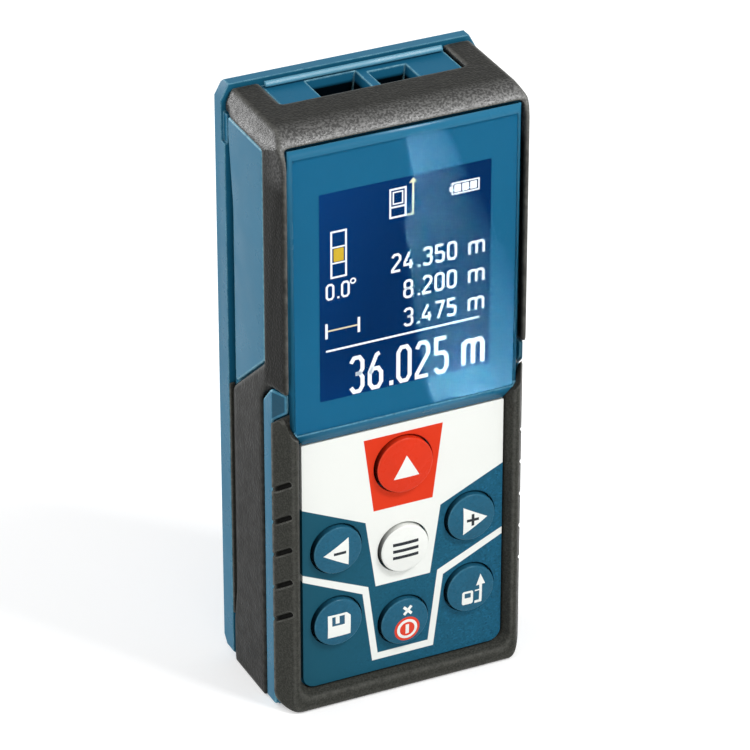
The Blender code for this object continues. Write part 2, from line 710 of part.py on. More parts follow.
def build_front_case():
    """Front shell with its plate, posts, bosses and openings."""
    case = box("front_case", (-CASE_HALF, CASE_FACE, CASE_FOOT), (CASE_HALF, CASE_BACK, CASE_TOP))
    fuse(case, build_case_skin())
    cut(case, box(
        "case_cavity",
        (-CASE_INNER_HALF, PLATE_BACK, CASE_FOOT + CASE_WALL),
        (CASE_INNER_HALF, CASE_BACK + OVERRUN, CASE_CEILING),
    ))
    bezel_half = BEZEL_HALF + CLEARANCE
    cut(case, box(
        "case_bezel_notch",
        (-bezel_half, BEZEL_FRONT - CLEARANCE, CASE_CEILING - OVERRUN),
        (bezel_half, CASE_BACK + OVERRUN, CASE_TOP + OVERRUN),
    ))
    opening = rectangle(
        SCREEN_HALF + OPENING_MARGIN, SCREEN_BOTTOM - OPENING_MARGIN, SCREEN_TOP + OPENING_MARGIN
    )
    cut(case, prism("case_screen_opening", [opening], "XZ", CASE_FACE - OVERRUN, PLATE_BACK + OVERRUN))
    plate_tool = CASE_PLATE + 2 * OVERRUN
    for name, across, up, radius, _ in buttons():
        hole = (across, CASE_FACE - OVERRUN, up)
        cut(case, rod("case_hole_" + name, "+Y", hole, radius + CLEARANCE, plate_tool))
    post_top = REAR_PLATE_FRONT - CLEARANCE
    post_root = PLATE_BACK - CASE_PLATE / 2
    for index, (across, up) in enumerate(post_places()):
        base = (across, post_root, up)
        fuse(case, rod(f"case_post_{index}", "+Y", base, POST_RADIUS, post_top - post_root, SMALL_STEPS))
        bore = (across, post_top - POST_BORE_DEPTH, up)
        bore_radius = CASE_SCREW_RADIUS + CLEARANCE
        bore_length = POST_BORE_DEPTH + OVERRUN
        cut(case, rod(f"case_post_bore_{index}", "+Y", bore, bore_radius, bore_length, SMALL_STEPS))
    boss_top = BOARD_FRONT - CLEARANCE
    for name, across, up in small_screw_places():
        base = (across, post_root, up)
        boss_length = boss_top - post_root
        fuse(case, rod("case_boss_" + name, "+Y", base, SMALL_BOSS_RADIUS, boss_length, SMALL_STEPS))
        bore = (across, PLATE_BACK + CLEARANCE, up)
        bore_length = boss_top - PLATE_BACK
        cut(case, rod("case_boss_bore_" + name, "+Y", bore, SMALL_BORE, bore_length, SMALL_STEPS))
    return finish(case, "blue_plastic")


def build_rear_case():
    """Back shell with the battery bay, the tripod boss and the screw holes."""
    corner_half = HALF_WIDTH - REAR_CORNER_WIDTH
    face = mirrored([
        (corner_half, 0.0),
        (HALF_WIDTH, REAR_CORNER_WIDTH),
        (HALF_WIDTH, BODY_HEIGHT - REAR_CORNER_HEIGHT),
        (corner_half, BODY_HEIGHT),
    ])
    case = prism("rear_case", [face], "XZ", REAR_RIM_FRONT, BACK)
    side = [
        (REAR_RIM_FRONT - OVERRUN, 0.0),
        (BACK - REAR_FOOT_DEPTH, 0.0),
        (BACK, REAR_FOOT_HEIGHT),
        (BACK, BODY_HEIGHT - REAR_EDGE),
        (BACK - REAR_EDGE, BODY_HEIGHT),
        (REAR_STRIP_FRONT, BODY_HEIGHT),
        (REAR_STRIP_FRONT, ARCH_BAND_BOTTOM - CLEARANCE),
        (REAR_RIM_FRONT - OVERRUN, ARCH_BAND_BOTTOM - CLEARANCE),
    ]
    keep_inside(case, prism("rear_case_side", [side], "YZ", -HALF_WIDTH - OVERRUN, HALF_WIDTH + OVERRUN))
    hollow_half = HALF_WIDTH - REAR_WALL
    cut(case, box(
        "rear_hollow",
        (-hollow_half, REAR_RIM_FRONT - OVERRUN, REAR_WALL),
        (hollow_half, REAR_PLATE_FRONT, ARCH_BAND_BOTTOM),
    ))
    slot_top = ARCH_BAND_BOTTOM - CLEARANCE
    for side_name, side_sign in (("left", -1), ("right", 1)):
        reach = sorted((side_sign * (HALF_WIDTH - SIDE_SLOT_DEPTH), side_sign * (HALF_WIDTH + OVERRUN)))
        cut(case, box(
            "rear_side_slot_" + side_name,
            (reach[0], REAR_RIM_FRONT - OVERRUN, slot_top - SIDE_SLOT_LENGTH),
            (reach[1], REAR_RIM_FRONT + SIDE_SLOT_WIDTH, slot_top + OVERRUN),
        ))
    tub_half = BAY_HALF + BAY_WALL
    fuse(case, box(
        "rear_tub",
        (-tub_half, BAY_FRONT, BAY_FOOT),
        (tub_half, REAR_PLATE_FRONT + BLEND, BAY_TOP + BAY_WALL),
    ))
    boss_front = BACK - INSERT_SETBACK - INSERT_LENGTH - CLEARANCE - SOCKET_FLOOR
    boss_length = REAR_PLATE_FRONT + BLEND - boss_front
    fuse(case, rod("rear_socket_boss", "+Y", (0, boss_front, SOCKET_Z), SOCKET_BOSS_RADIUS, boss_length))
    cut(case, box(
        "rear_bay",
        (-BAY_HALF, BAY_FRONT + BAY_FLOOR, BAY_BOTTOM),
        (BAY_HALF, BACK + OVERRUN, BAY_TOP),
    ))
    cut(case, box(
        "rear_lid_recess",
        (-LID_RECESS_HALF, LID_SEAT, LID_RECESS_BOTTOM),
        (LID_RECESS_HALF, BACK + OVERRUN, LID_RECESS_TOP),
    ))
    slot_half = HOOK_WIDTH / 2 + CLEARANCE
    for side_name, side_sign in (("left", -1), ("right", 1)):
        middle = side_sign * HOOK_OFFSET
        cut(case, box(
            "rear_hook_slot_" + side_name,
            (middle - slot_half, REAR_PLATE_FRONT - BLEND, LID_BOTTOM - HOOK_LENGTH - CLEARANCE),
            (middle + slot_half, LID_FRONT + HOOK_GRIP + CLEARANCE, BAY_BOTTOM + BLEND),
        ))
    socket = (0, boss_front + SOCKET_FLOOR, SOCKET_Z)
    cut(case, rod("rear_socket", "+Y", socket, SOCKET_RADIUS, BACK - socket[1] + OVERRUN))
    counterbore = REAR_PLATE_FRONT + COUNTERBORE_FLOOR
    for index, (across, up) in enumerate(post_places()):
        hole = (across, REAR_PLATE_FRONT - OVERRUN, up)
        radius = CASE_SCREW_RADIUS + CLEARANCE
        cut(case, rod(f"rear_screw_hole_{index}", "+Y", hole, radius, REAR_PLATE, SMALL_STEPS))
        seat = (across, counterbore, up)
        radius = CASE_HEAD_RADIUS + CLEARANCE
        cut(case, rod(f"rear_counterbore_{index}", "+Y", seat, radius, REAR_PLATE, SMALL_STEPS))
    label_bottom = SOCKET_Z + SOCKET_BOSS_RADIUS + LABEL_BOTTOM_MARGIN
    label = rounded_rectangle(LABEL_HALF_WIDTH, label_bottom, BODY_HEIGHT - LABEL_TOP_MARGIN, LABEL_CORNER)
    cut(case, prism("rear_label_recess", [label], "XZ", BACK - LABEL_DEPTH, BACK + OVERRUN))
    return finish(case, "blue_plastic")


def build_upper_bumper():
    """Rubber arch over the top with its legs and the two side grips, in one piece."""
    curve = arc((ARCH_FRONT + ARCH_RADIUS, ARCH_TOP - ARCH_RADIUS), ARCH_RADIUS, 90, 180)
    side = curve + [
        (ARCH_FRONT, HOOK_TOP + CLEARANCE),
        (RIB_FRONT, HOOK_TOP + CLEARANCE),
        (GRIP_FRONT, HOOK_TOP - HOOK_SLOPE_HEIGHT + CLEARANCE),
        (GRIP_FRONT, 0.0),
        (CASE_BACK, 0.0),
        (CASE_BACK, GRIP_BACK_TOP),
        (ARCH_LEG_BACK, GRIP_FRONT_TOP),
        (ARCH_LEG_BACK, ARCH_BAND_BOTTOM),
        (ARCH_BACK, ARCH_BAND_BOTTOM),
        (ARCH_BACK, ARCH_TOP),
    ]
    bumper = prism("upper_bumper", [side], "YZ", -HALF_WIDTH, HALF_WIDTH)
    shoulder = mirrored([
        (HALF_WIDTH, -OVERRUN),
        (HALF_WIDTH, ARCH_TOP - ARCH_SHOULDER_HEIGHT),
        (HALF_WIDTH - ARCH_SHOULDER_WIDTH, ARCH_TOP),
    ])
    keep_inside(
        bumper,
        side_section("bumper_plan", HALF_WIDTH, VALLEY_DEPTH, ARCH_FRONT, ARCH_BACK),
        prism("bumper_shoulder", [shoulder], "XZ", FRONT - OVERRUN, BACK + OVERRUN),
    )
    cover_half = COVER_HALF + CLEARANCE
    bezel_half = BEZEL_HALF + CLEARANCE
    cut(
        bumper,
        box(
            "bumper_core",
            (-GRIP_INNER_HALF, CASE_FACE - CLEARANCE, -OVERRUN),
            (GRIP_INNER_HALF, BACK, CASE_TOP + CLEARANCE),
        ),
        box(
            "bumper_cover_room",
            (-cover_half, FRONT - OVERRUN, -OVERRUN),
            (cover_half, CASE_FACE, COVER_TOP + CLEARANCE),
        ),
        box(
            "bumper_bezel_room",
            (-bezel_half, BEZEL_FRONT - CLEARANCE, CASE_TOP),
            (bezel_half, BACK, BODY_HEIGHT + OVERRUN),
        ),
    )
    return finish(bumper, "black_rubber")


def well_tool():
    """Space over the keypad: straight where the panel lies, then flared out to the front rim."""
    corner = KEYPAD_CORNER + CLEARANCE
    bottom = KEYPAD_FOOT - CLEARANCE
    well = rounded_rectangle(KEYPAD_WELL_HALF, bottom, BODY_HEIGHT, corner)
    tool = prism("well", [well], "XZ", FRONT - OVERRUN, KEYPAD_FACE)
    spread = 1 + WELL_FLARE / KEYPAD_WELL_HALF
    shape = bmesh.new()
    shape.from_mesh(tool.data)
    for point in shape.verts:
        if point.co.y < FRONT:
            point.co.x *= spread
            point.co.z -= WELL_FLARE
    shape.to_mesh(tool.data)
    shape.free()
    straight = prism("well_straight", [well], "XZ", KEYPAD_FACE - BLEND, COVER_BACK + CLEARANCE)
    return tool, straight


def build_lower_bumper():
    """Rubber frame round the keypad, with its grip grooves."""
    corner = LOWER_FRAME_CORNER
    tip_half = HALF_WIDTH - FRAME_TIP_WIDTH
    lip_half = COVER_HALF - COVER_CORNER_WIDTH
    outline = mirrored(
        arc((HALF_WIDTH - corner, corner), corner, -90, 0)
        + [
            (HALF_WIDTH, frame_top(FRONT)),
            (tip_half, frame_top(FRONT)),
            (tip_half, LOWER_FRAME_TOP - FRAME_TIP_NOTCH),
            (lip_half, KEYPAD_TOP),
        ]
    )
    frame = prism("lower_bumper", [outline], "XZ", FRONT, LOWER_FRAME_BACK)
    before, behind = FRONT - OVERRUN, LOWER_FRAME_BACK + OVERRUN
    over_tip = [
        (behind, frame_top(behind)),
        (before, frame_top(before)),
        (before, BODY_HEIGHT),
        (behind, BODY_HEIGHT),
    ]
    cut(frame, prism("lower_tip", [over_tip], "YZ", -HALF_WIDTH - OVERRUN, HALF_WIDTH + OVERRUN))
    plan = mirrored([
        (HALF_WIDTH - LOWER_BEVEL_WIDTH, FRONT),
        (HALF_WIDTH, LOWER_FRAME_BACK),
        (HALF_WIDTH, LOWER_FRAME_BACK + OVERRUN),
    ])
    keep_inside(frame, prism("lower_plan", [plan], "XY", -OVERRUN, BODY_HEIGHT))
    cut(frame, box(
        "lower_core",
        (-GRIP_INNER_HALF, CASE_FACE - CLEARANCE, CASE_FOOT - CLEARANCE),
        (GRIP_INNER_HALF, LOWER_FRAME_BACK + OVERRUN, BODY_HEIGHT),
    ))
    cut(frame, *well_tool())
    lean = math.atan2(LOWER_BEVEL_WIDTH, LOWER_FRAME_DEPTH)
    tilt = math.radians(GROOVE_TILT)
    facet_length = math.hypot(LOWER_BEVEL_WIDTH, LOWER_FRAME_DEPTH)
    groove_front = (facet_length / 2 - GROOVE_INSET) / math.cos(tilt)
    for side_name, side_sign in (("left", -1), ("right", 1)):
        facet = HALF_WIDTH - LOWER_BEVEL_WIDTH / 2
        middle = Vector((side_sign * facet, FRONT + LOWER_FRAME_DEPTH / 2, 0))
        for row in range(GROOVE_COUNT):
            groove = box(
                f"groove_{side_name}_{row}",
                (-GROOVE_DEPTH, -groove_front, -GROOVE_WIDTH / 2),
                (GROOVE_DEPTH, facet_length, GROOVE_WIDTH / 2),
            )
            groove.location = middle + Vector((0, 0, GROOVE_FIRST + row * GROOVE_PITCH))
            groove.rotation_euler = (-tilt, 0, -side_sign * lean)
            cut(frame, groove)
    return finish(frame, "black_rubber")


def build_display_window():
    """Clear cover over the display with a bevelled rim and cut lower corners."""
    lip_half = COVER_HALF - COVER_CORNER_WIDTH
    face = mirrored([
        (lip_half, COVER_BOTTOM),
        (COVER_HALF, COVER_BOTTOM + COVER_CORNER_HEIGHT),
        (COVER_HALF, COVER_TOP),
    ])
    window = prism("display_window", [face], "XZ", COVER_FACE, COVER_BACK)
    side = [
        (COVER_BACK + OVERRUN, COVER_BOTTOM),
        (COVER_BACK + OVERRUN, COVER_TOP),
        (COVER_FACE + COVER_TOP_DEPTH, COVER_TOP),
        (COVER_FACE, COVER_TOP - COVER_TOP_HEIGHT),
        (COVER_FACE, COVER_BOTTOM + COVER_LIP_HEIGHT),
        (COVER_FACE + COVER_LIP_DEPTH, COVER_BOTTOM),
    ]
    plan = mirrored([
        (COVER_HALF - COVER_EDGE_WIDTH, COVER_FACE),
        (COVER_HALF, COVER_FACE + COVER_EDGE_DEPTH),
        (COVER_HALF, COVER_BACK + OVERRUN),
    ])
    keep_inside(
        window,
        prism("window_side", [side], "YZ", -HALF_WIDTH, HALF_WIDTH),
        prism("window_plan", [plan], "XY", -OVERRUN, BODY_HEIGHT),
    )
    return finish(window, "window_glass")


def build_keypad_panel():
    """Printed panel with a hole for each key."""
    corner = KEYPAD_CORNER
    inner = KEYPAD_HALF - corner
    outline = mirrored(
        arc((inner, KEYPAD_FOOT + corner), corner, -90, 0) + [(KEYPAD_HALF, KEYPAD_TOP)]
    )
    panel = prism("keypad_panel", [outline], "XZ", KEYPAD_FACE, KEYPAD_BACK)
    length = KEYPAD_BACK - KEYPAD_FACE + 2 * OVERRUN
    for name, across, up, radius, _ in buttons():
        hole = (across, KEYPAD_FACE - OVERRUN, up)
        cut(panel, rod("panel_hole_" + name, "+Y", hole, radius + CLEARANCE, length))
    return finish(panel, "printed_panel")


def build_buttons():
    """Keys with a crown, a flange behind the plate and a stem, each over its snap dome."""
    flange_top = KEYPAD_FACE - PLATE_BACK - CLEARANCE
    flange_bottom = flange_top - BUTTON_FLANGE_THICKNESS
    dome_front = BOARD_FRONT - CLEARANCE - DOME_HEIGHT
    stem_end = KEYPAD_FACE - dome_front + CLEARANCE + BUTTON_TRAVEL
    for name, across, up, radius, finish_name in buttons():
        flange = radius + CLEARANCE + BUTTON_FLANGE
        profile = bulge(radius - BUTTON_ROUND, BUTTON_CROWN, BUTTON_SHOULDER) + [
            (radius, BUTTON_SHOULDER - BUTTON_ROUND),
            (radius, flange_top),
            (flange, flange_top),
            (flange, flange_bottom),
            (BUTTON_STEM_RADIUS, flange_bottom),
            (BUTTON_STEM_RADIUS, stem_end),
            (0.0, stem_end),
        ]
        finish(turned(name, profile, (across, KEYPAD_FACE, up), "-Y"), finish_name)
        dome = bulge(DOME_RADIUS, DOME_HEIGHT, DOME_EDGE) + [
            (DOME_RADIUS, 0.0),
            (0.0, 0.0),
        ]
        dome_name = name.replace("button", "dome")
        place = (across, BOARD_FRONT - CLEARANCE, up)
        finish(turned(dome_name, dome, place, "-Y", SMALL_STEPS), "tin")


def build_display():
    """Gasket, panel, backlight and frame behind the window, with the ribbon to the board."""
    half = SCREEN_HALF + PANEL_MARGIN
    bottom = SCREEN_BOTTOM - PANEL_MARGIN
    top = SCREEN_TOP + PANEL_MARGIN
    ring = [
        rectangle(half, bottom, top),
        rectangle(half - GASKET_WIDTH, bottom + GASKET_WIDTH, top - GASKET_WIDTH),
    ]
    gasket = prism("display_gasket", ring, "XZ", GASKET_FRONT, GASKET_FRONT + GASKET_THICKNESS)
    finish(gasket, "foam")
    panel = box("display_panel", (-half, PANEL_FRONT, bottom), (half, PANEL_FRONT + PANEL_THICKNESS, top))
    finish(panel, "screen")
    light_back = BACKLIGHT_FRONT + BACKLIGHT_THICKNESS
    backlight = box("display_backlight", (-half, BACKLIGHT_FRONT, bottom), (half, light_back, top))
    finish(backlight, "light_guide")
    inner_half = half + CLEARANCE
    inner_bottom = bottom - CLEARANCE
    inner_top = top + CLEARANCE
    frame_ring = [
        rectangle(inner_half + FRAME_WALL, inner_bottom - FRAME_WALL, inner_top + FRAME_WALL),
        rectangle(inner_half, inner_bottom, inner_top),
    ]
    frame = prism("display_frame", frame_ring, "XZ", GASKET_FRONT, light_back)
    ribbon_front = light_back - CLEARANCE - RIBBON_THICKNESS
    notch_half = RIBBON_HALF_WIDTH + CLEARANCE
    cut(frame, box(
        "frame_ribbon_notch",
        (-notch_half, ribbon_front - CLEARANCE, inner_bottom - FRAME_WALL - OVERRUN),
        (notch_half, light_back + OVERRUN, inner_bottom + CLEARANCE),
    ))
    finish(frame, "black_plastic")
    connector_top = COVER_BOTTOM + CONNECTOR_RISE
    connector_back = BOARD_FRONT - CLEARANCE
    connector = box(
        "display_connector",
        (-CONNECTOR_HALF_WIDTH, connector_back - CONNECTOR_HEIGHT, connector_top - CONNECTOR_LENGTH),
        (CONNECTOR_HALF_WIDTH, connector_back, connector_top),
    )
    finish(connector, "black_plastic")
    ribbon = box(
        "display_ribbon",
        (-RIBBON_HALF_WIDTH, ribbon_front, connector_top + CLEARANCE),
        (RIBBON_HALF_WIDTH, ribbon_front + RIBBON_THICKNESS, bottom - CLEARANCE),
    )
    finish(ribbon, "polyimide")


def build_board():
    """Circuit board with its screw holes and the components on its back."""
    board = box("main_board", (-BOARD_HALF, BOARD_FRONT, BOARD_BOTTOM), (BOARD_HALF, BOARD_BACK, BOARD_TOP))
    for name, across, up in small_screw_places():
        hole = (across, BOARD_FRONT - OVERRUN, up)
        length = BOARD_THICKNESS + 2 * OVERRUN
        cut(board, rod("board_hole_" + name, "+Y", hole, SMALL_BORE, length, SMALL_STEPS))
    finish(board, "board")
    half = PROCESSOR_WIDTH / 2
    processor = box(
        "processor",
        (-CHIP_OFFSET - half, CHIP_FRONT, SOCKET_Z - half),
        (-CHIP_OFFSET + half, CHIP_FRONT + PROCESSOR_HEIGHT, SOCKET_Z + half),
    )
    finish(processor, "black_plastic")
    half = SHIELD_WIDTH / 2
    shield = box(
        "shield_can",
        (CHIP_OFFSET - half, CHIP_FRONT, SOCKET_Z - half),
        (CHIP_OFFSET + half, CHIP_FRONT + SHIELD_HEIGHT, SOCKET_Z + half),
    )
    finish(shield, "tin")
    port_floor = BUZZER_HEIGHT - BUZZER_PORT_DEPTH
    buzzer = [
        (0.0, port_floor),
        (BUZZER_PORT_RADIUS, port_floor),
        (BUZZER_PORT_RADIUS, BUZZER_HEIGHT),
        (BUZZER_RADIUS, BUZZER_HEIGHT),
        (BUZZER_RADIUS, 0.0),
        (0.0, 0.0),
    ]
    finish(turned("buzzer", buzzer, (0, CHIP_FRONT, SOCKET_Z), "+Y"), "black_plastic")
    tilt_left = -CARRIER_SCREW_X - TILT_WIDTH / 2
    tilt_top = CARRIER_TAB_BOTTOM - TILT_DROP
    tilt = box(
        "tilt_sensor",
        (tilt_left, CHIP_FRONT, tilt_top - TILT_WIDTH),
        (tilt_left + TILT_WIDTH, CHIP_FRONT + TILT_HEIGHT, tilt_top),
    )
    finish(tilt, "black_plastic")


def screw(name, place, direction, head_radius, head_height, socket, radius, length):
    """Pan-head screw with a drive socket; its place is the middle of the head's underside."""
    socket_radius, socket_depth = socket
    profile = [
        (0.0, head_height - socket_depth),
        (socket_radius, head_height - socket_depth),
        (socket_radius, head_height),
        (head_radius - HEAD_ROUND, head_height),
        (head_radius, head_height - HEAD_ROUND),
        (head_radius, 0.0),
        (radius, 0.0),
        (radius, -length),
        (0.0, -length),
    ]
    finish(turned(name, profile, place, direction, SMALL_STEPS), "steel")


def build_screws():
    """Four case screws from the back, and the screws of the board and the carrier."""
    head_seat = REAR_PLATE_FRONT + COUNTERBORE_FLOOR + CLEARANCE
    case_socket = (CASE_HEAD_SOCKET_RADIUS, CASE_HEAD_SOCKET_DEPTH)
    names = ("lower_left", "lower_right", "upper_left", "upper_right")
    for corner, (across, up) in zip(names, post_places()):
        screw(
            "case_screw_" + corner, (across, head_seat, up), "+Y", CASE_HEAD_RADIUS, CASE_HEAD_HEIGHT,
            case_socket, CASE_SCREW_RADIUS, CASE_SCREW_LENGTH,
        )
    small_socket = (SMALL_HEAD_SOCKET_RADIUS, SMALL_HEAD_SOCKET_DEPTH)
    for name, across, up in small_screw_places():
        through = CARRIER_TAB_THICKNESS + CLEARANCE if name.startswith("carrier") else 0.0
        seat = BOARD_BACK + through + CLEARANCE
        length = BOARD_THICKNESS + through + 2 * CLEARANCE + SMALL_SCREW_GRIP
        screw(
            name, (across, seat, up), "+Y", SMALL_HEAD_RADIUS, SMALL_HEAD_HEIGHT,
            small_socket, SMALL_SCREW_RADIUS, length,
        )


def lens(name, place, radius, thickness, edge):
    """Round lens with two bulging faces, centred on its place."""
    upper = bulge(radius, thickness / 2, edge / 2)
    lower = [(across, -height) for across, height in reversed(upper)]
    finish(turned(name, upper + lower, place, "+Z"), "lens_glass")


def can(name, place, flange_radius, flange_height, can_radius, can_height):
    """Metal can on a flange, standing on its place."""
    total = flange_height + can_height
    profile = [
        (0.0, total),
        (can_radius, total),
        (can_radius, flange_height),
        (flange_radius, flange_height),
        (flange_radius, 0.0),
        (0.0, 0.0),
    ]
    finish(turned(name, profile, place, "+Z"), "tin")


def build_optics():
    """Carrier with the receiving lens and detector on one side and the laser on the other."""
    carrier = box(
        "optics_carrier",
        (-CARRIER_HALF_WIDTH, CHIP_FRONT, CARRIER_BOTTOM),
        (CARRIER_HALF_WIDTH, CARRIER_BACK, CARRIER_TOP),
    )
    fuse(carrier, box(
        "carrier_tab",
        (-CARRIER_TAB_HALF_WIDTH, CHIP_FRONT, CARRIER_TAB_BOTTOM),
        (CARRIER_TAB_HALF_WIDTH, CHIP_FRONT + CARRIER_TAB_THICKNESS, BOARD_TOP),
    ))
    lens_middle = CARRIER_TOP - LENS_SINK - LENS_THICKNESS / 2
    lens_seat = lens_middle - LENS_THICKNESS / 2 - CLEARANCE
    detector_bore = DETECTOR_FLANGE_RADIUS + CLEARANCE
    laser_bore = BARREL_RADIUS + CLEARANCE
    receiver = (RECEIVER_X, RECEIVER_Y)
    beam = (BEAM_X, BEAM_Y)
    light_bottom = CARRIER_BOTTOM + DETECTOR_HOLE_DEPTH
    cut(
        carrier,
        rod("carrier_lens_bore", "+Z", (*receiver, lens_seat), LENS_BORE,
            CARRIER_TOP - lens_seat + OVERRUN),
        rod("carrier_light_bore", "+Z", (*receiver, light_bottom), LENS_BORE - LENS_SHOULDER,
            lens_seat - light_bottom + OVERRUN),
        rod("carrier_detector_bore", "+Z", (*receiver, CARRIER_BOTTOM - OVERRUN), detector_bore,
            DETECTOR_HOLE_DEPTH + 2 * OVERRUN),
        rod("carrier_laser_bore", "+Z", (*beam, CARRIER_BOTTOM - OVERRUN), laser_bore,
            CARRIER_LENGTH + 2 * OVERRUN),
    )
    for name, across, up in small_screw_places():
        if name.startswith("carrier"):
            hole = (across, CHIP_FRONT - OVERRUN, up)
            length = CARRIER_TAB_THICKNESS + 2 * OVERRUN
            cut(carrier, rod("carrier_hole_" + name, "+Y", hole, SMALL_BORE, length, SMALL_STEPS))
    finish(carrier, "black_plastic")

    lens("receiver_lens", (*receiver, lens_middle), LENS_RADIUS, LENS_THICKNESS, LENS_EDGE)
    diode_seat = SENSOR_BOARD_TOP + CLEARANCE
    can("photodiode", (*receiver, diode_seat), DETECTOR_FLANGE_RADIUS, DETECTOR_FLANGE_HEIGHT,
        DETECTOR_CAN_RADIUS, DETECTOR_CAN_HEIGHT)
    can("laser_diode", (*beam, diode_seat), LASER_FLANGE_RADIUS, LASER_FLANGE_HEIGHT,
        LASER_CAN_RADIUS, LASER_CAN_HEIGHT)

    barrel_bottom = diode_seat + LASER_FLANGE_HEIGHT + CLEARANCE
    barrel_top = CARRIER_TOP - BARREL_SINK
    barrel_bore = BARREL_RADIUS - BARREL_WALL
    barrel = [
        (BARREL_RADIUS, barrel_top),
        (BARREL_RADIUS, barrel_bottom),
        (barrel_bore, barrel_bottom),
        (barrel_bore, barrel_top),
    ]
    finish(turned("laser_barrel", barrel, (*beam, 0.0), "+Z", closed=True), "brass")
    collimator = (*beam, barrel_top - COLLIMATOR_SINK)
    lens("collimator_lens", collimator, barrel_bore - CLEARANCE, COLLIMATOR_THICKNESS, COLLIMATOR_EDGE)

    sensor_half = CARRIER_HALF_WIDTH - SENSOR_BOARD_MARGIN
    sensor_board = box(
        "sensor_board",
        (-sensor_half, CHIP_FRONT + SENSOR_BOARD_MARGIN, SENSOR_BOARD_BOTTOM),
        (sensor_half, CARRIER_BACK - SENSOR_BOARD_MARGIN, SENSOR_BOARD_TOP),
    )
    finish(sensor_board, "board")


def pocket_tool(name, middle, width, depth, bottom, top):
    """Light pocket that narrows from its mouth to its bottom, drawn on past the mouth."""
    past = POCKET_TAPER * OVERRUN / (top - bottom)
    shape = bmesh.new()
    bmesh.ops.create_cube(shape, size=1.0)
    for corner in shape.verts:
        at_top = corner.co.z > 0
        wider = past if at_top else -POCKET_TAPER
        corner.co.x *= width + 2 * wider
        corner.co.y *= depth + 2 * wider
        corner.co.z = top + OVERRUN if at_top else bottom
    bmesh.ops.translate(shape, vec=(*middle, 0.0), verts=shape.verts)
    return from_bmesh(name, shape)


def build_bezel():
    """Blue inset at the beam end with its two light pockets and their windows."""
    bezel = box(
        "optics_bezel",
        (-BEZEL_CORE_HALF_WIDTH, BEZEL_FRONT, BEZEL_BOTTOM),
        (BEZEL_CORE_HALF_WIDTH, BEZEL_BACK, BEZEL_TOP - BLEND),
    )
    fuse(bezel, box(
        "bezel_plate",
        (-BEZEL_HALF, BEZEL_FRONT - BLEND / 2, BEZEL_TOP - BEZEL_PLATE),
        (BEZEL_HALF, BEZEL_BACK + BLEND / 2, BEZEL_TOP),
    ))
    window_bottom = BEZEL_BOTTOM + CLEARANCE
    window_top = window_bottom + WINDOW_THICKNESS
    recess_top = window_top + CLEARANCE
    pockets = (
        ("receiver", (RECEIVER_X, RECEIVER_Y), RECEIVER_WIDTH, RECEIVER_DEPTH),
        ("beam", (BEAM_X, BEAM_Y), BEAM_WIDTH, BEAM_DEPTH),
    )
    for name, middle, width, depth in pockets:
        cut(bezel, pocket_tool("pocket_" + name, middle, width, depth, recess_top - BLEND, BEZEL_TOP))
        half_x = width / 2 - POCKET_TAPER + WINDOW_LAP
        half_y = depth / 2 - POCKET_TAPER + WINDOW_LAP
        room_x = half_x + CLEARANCE
        room_y = half_y + CLEARANCE
        cut(bezel, box(
            "window_room_" + name,
            (middle[0] - room_x, middle[1] - room_y, BEZEL_BOTTOM - OVERRUN),
            (middle[0] + room_x, middle[1] + room_y, recess_top),
        ))
        window = box(
            name + "_window",
            (middle[0] - half_x, middle[1] - half_y, window_bottom),
            (middle[0] + half_x, middle[1] + half_y, window_top),
        )
        finish(window, "lens_glass")
    return finish(bezel, "blue_plastic")


def build_cells():
    """Two cells lying side by side, one each way up."""
    body = CELL_LENGTH - CELL_NUB_HEIGHT
    profile = [
        (0.0, CELL_LENGTH),
        (CELL_NUB_RADIUS, CELL_LENGTH),
        (CELL_NUB_RADIUS, body),
        (CELL_RADIUS - CELL_EDGE, body),
        (CELL_RADIUS, body - CELL_EDGE),
        (CELL_RADIUS, CELL_EDGE),
        (CELL_RADIUS - CELL_EDGE, 0.0),
        (0.0, 0.0),
    ]
    contact = 2 * CLEARANCE + CONTACT_THICKNESS
    left_foot = BAY_BOTTOM + contact + SPRING_HEIGHT + CLEARANCE
    right_head = BAY_BOTTOM + contact + CELL_LENGTH
    finish(turned("battery_left", profile, (-CELL_X, CELL_Y, left_foot), "+Z"), "cell_sleeve")
    finish(turned("battery_right", profile, (CELL_X, CELL_Y, right_head), "-Z"), "cell_sleeve")


def spring_path():
    """Points of a coil that narrows upwards, for a spring standing on z = 0."""
    count = round(SPRING_TURNS * SPRING_POINTS_PER_TURN)
    rise = SPRING_HEIGHT - 2 * SPRING_WIRE_RADIUS
    path = []
    for step in range(count + 1):
        share = step / count
        turn = 2 * math.pi * SPRING_TURNS * share
        radius = SPRING_BASE_RADIUS + (SPRING_TIP_RADIUS - SPRING_BASE_RADIUS) * share
        height = SPRING_WIRE_RADIUS + rise * share
        path.append(Vector((radius * math.cos(turn), radius * math.sin(turn), height)))
    return path


def least_self_gap(path):
    """Smallest gap between one turn of the wire and the next."""
    apart = SPRING_POINTS_PER_TURN // 2
    distances = [
        (first - second).length
        for index, first in enumerate(path)
        for second in path[index + apart:]
    ]
    return min(distances) - 2 * SPRING_WIRE_RADIUS


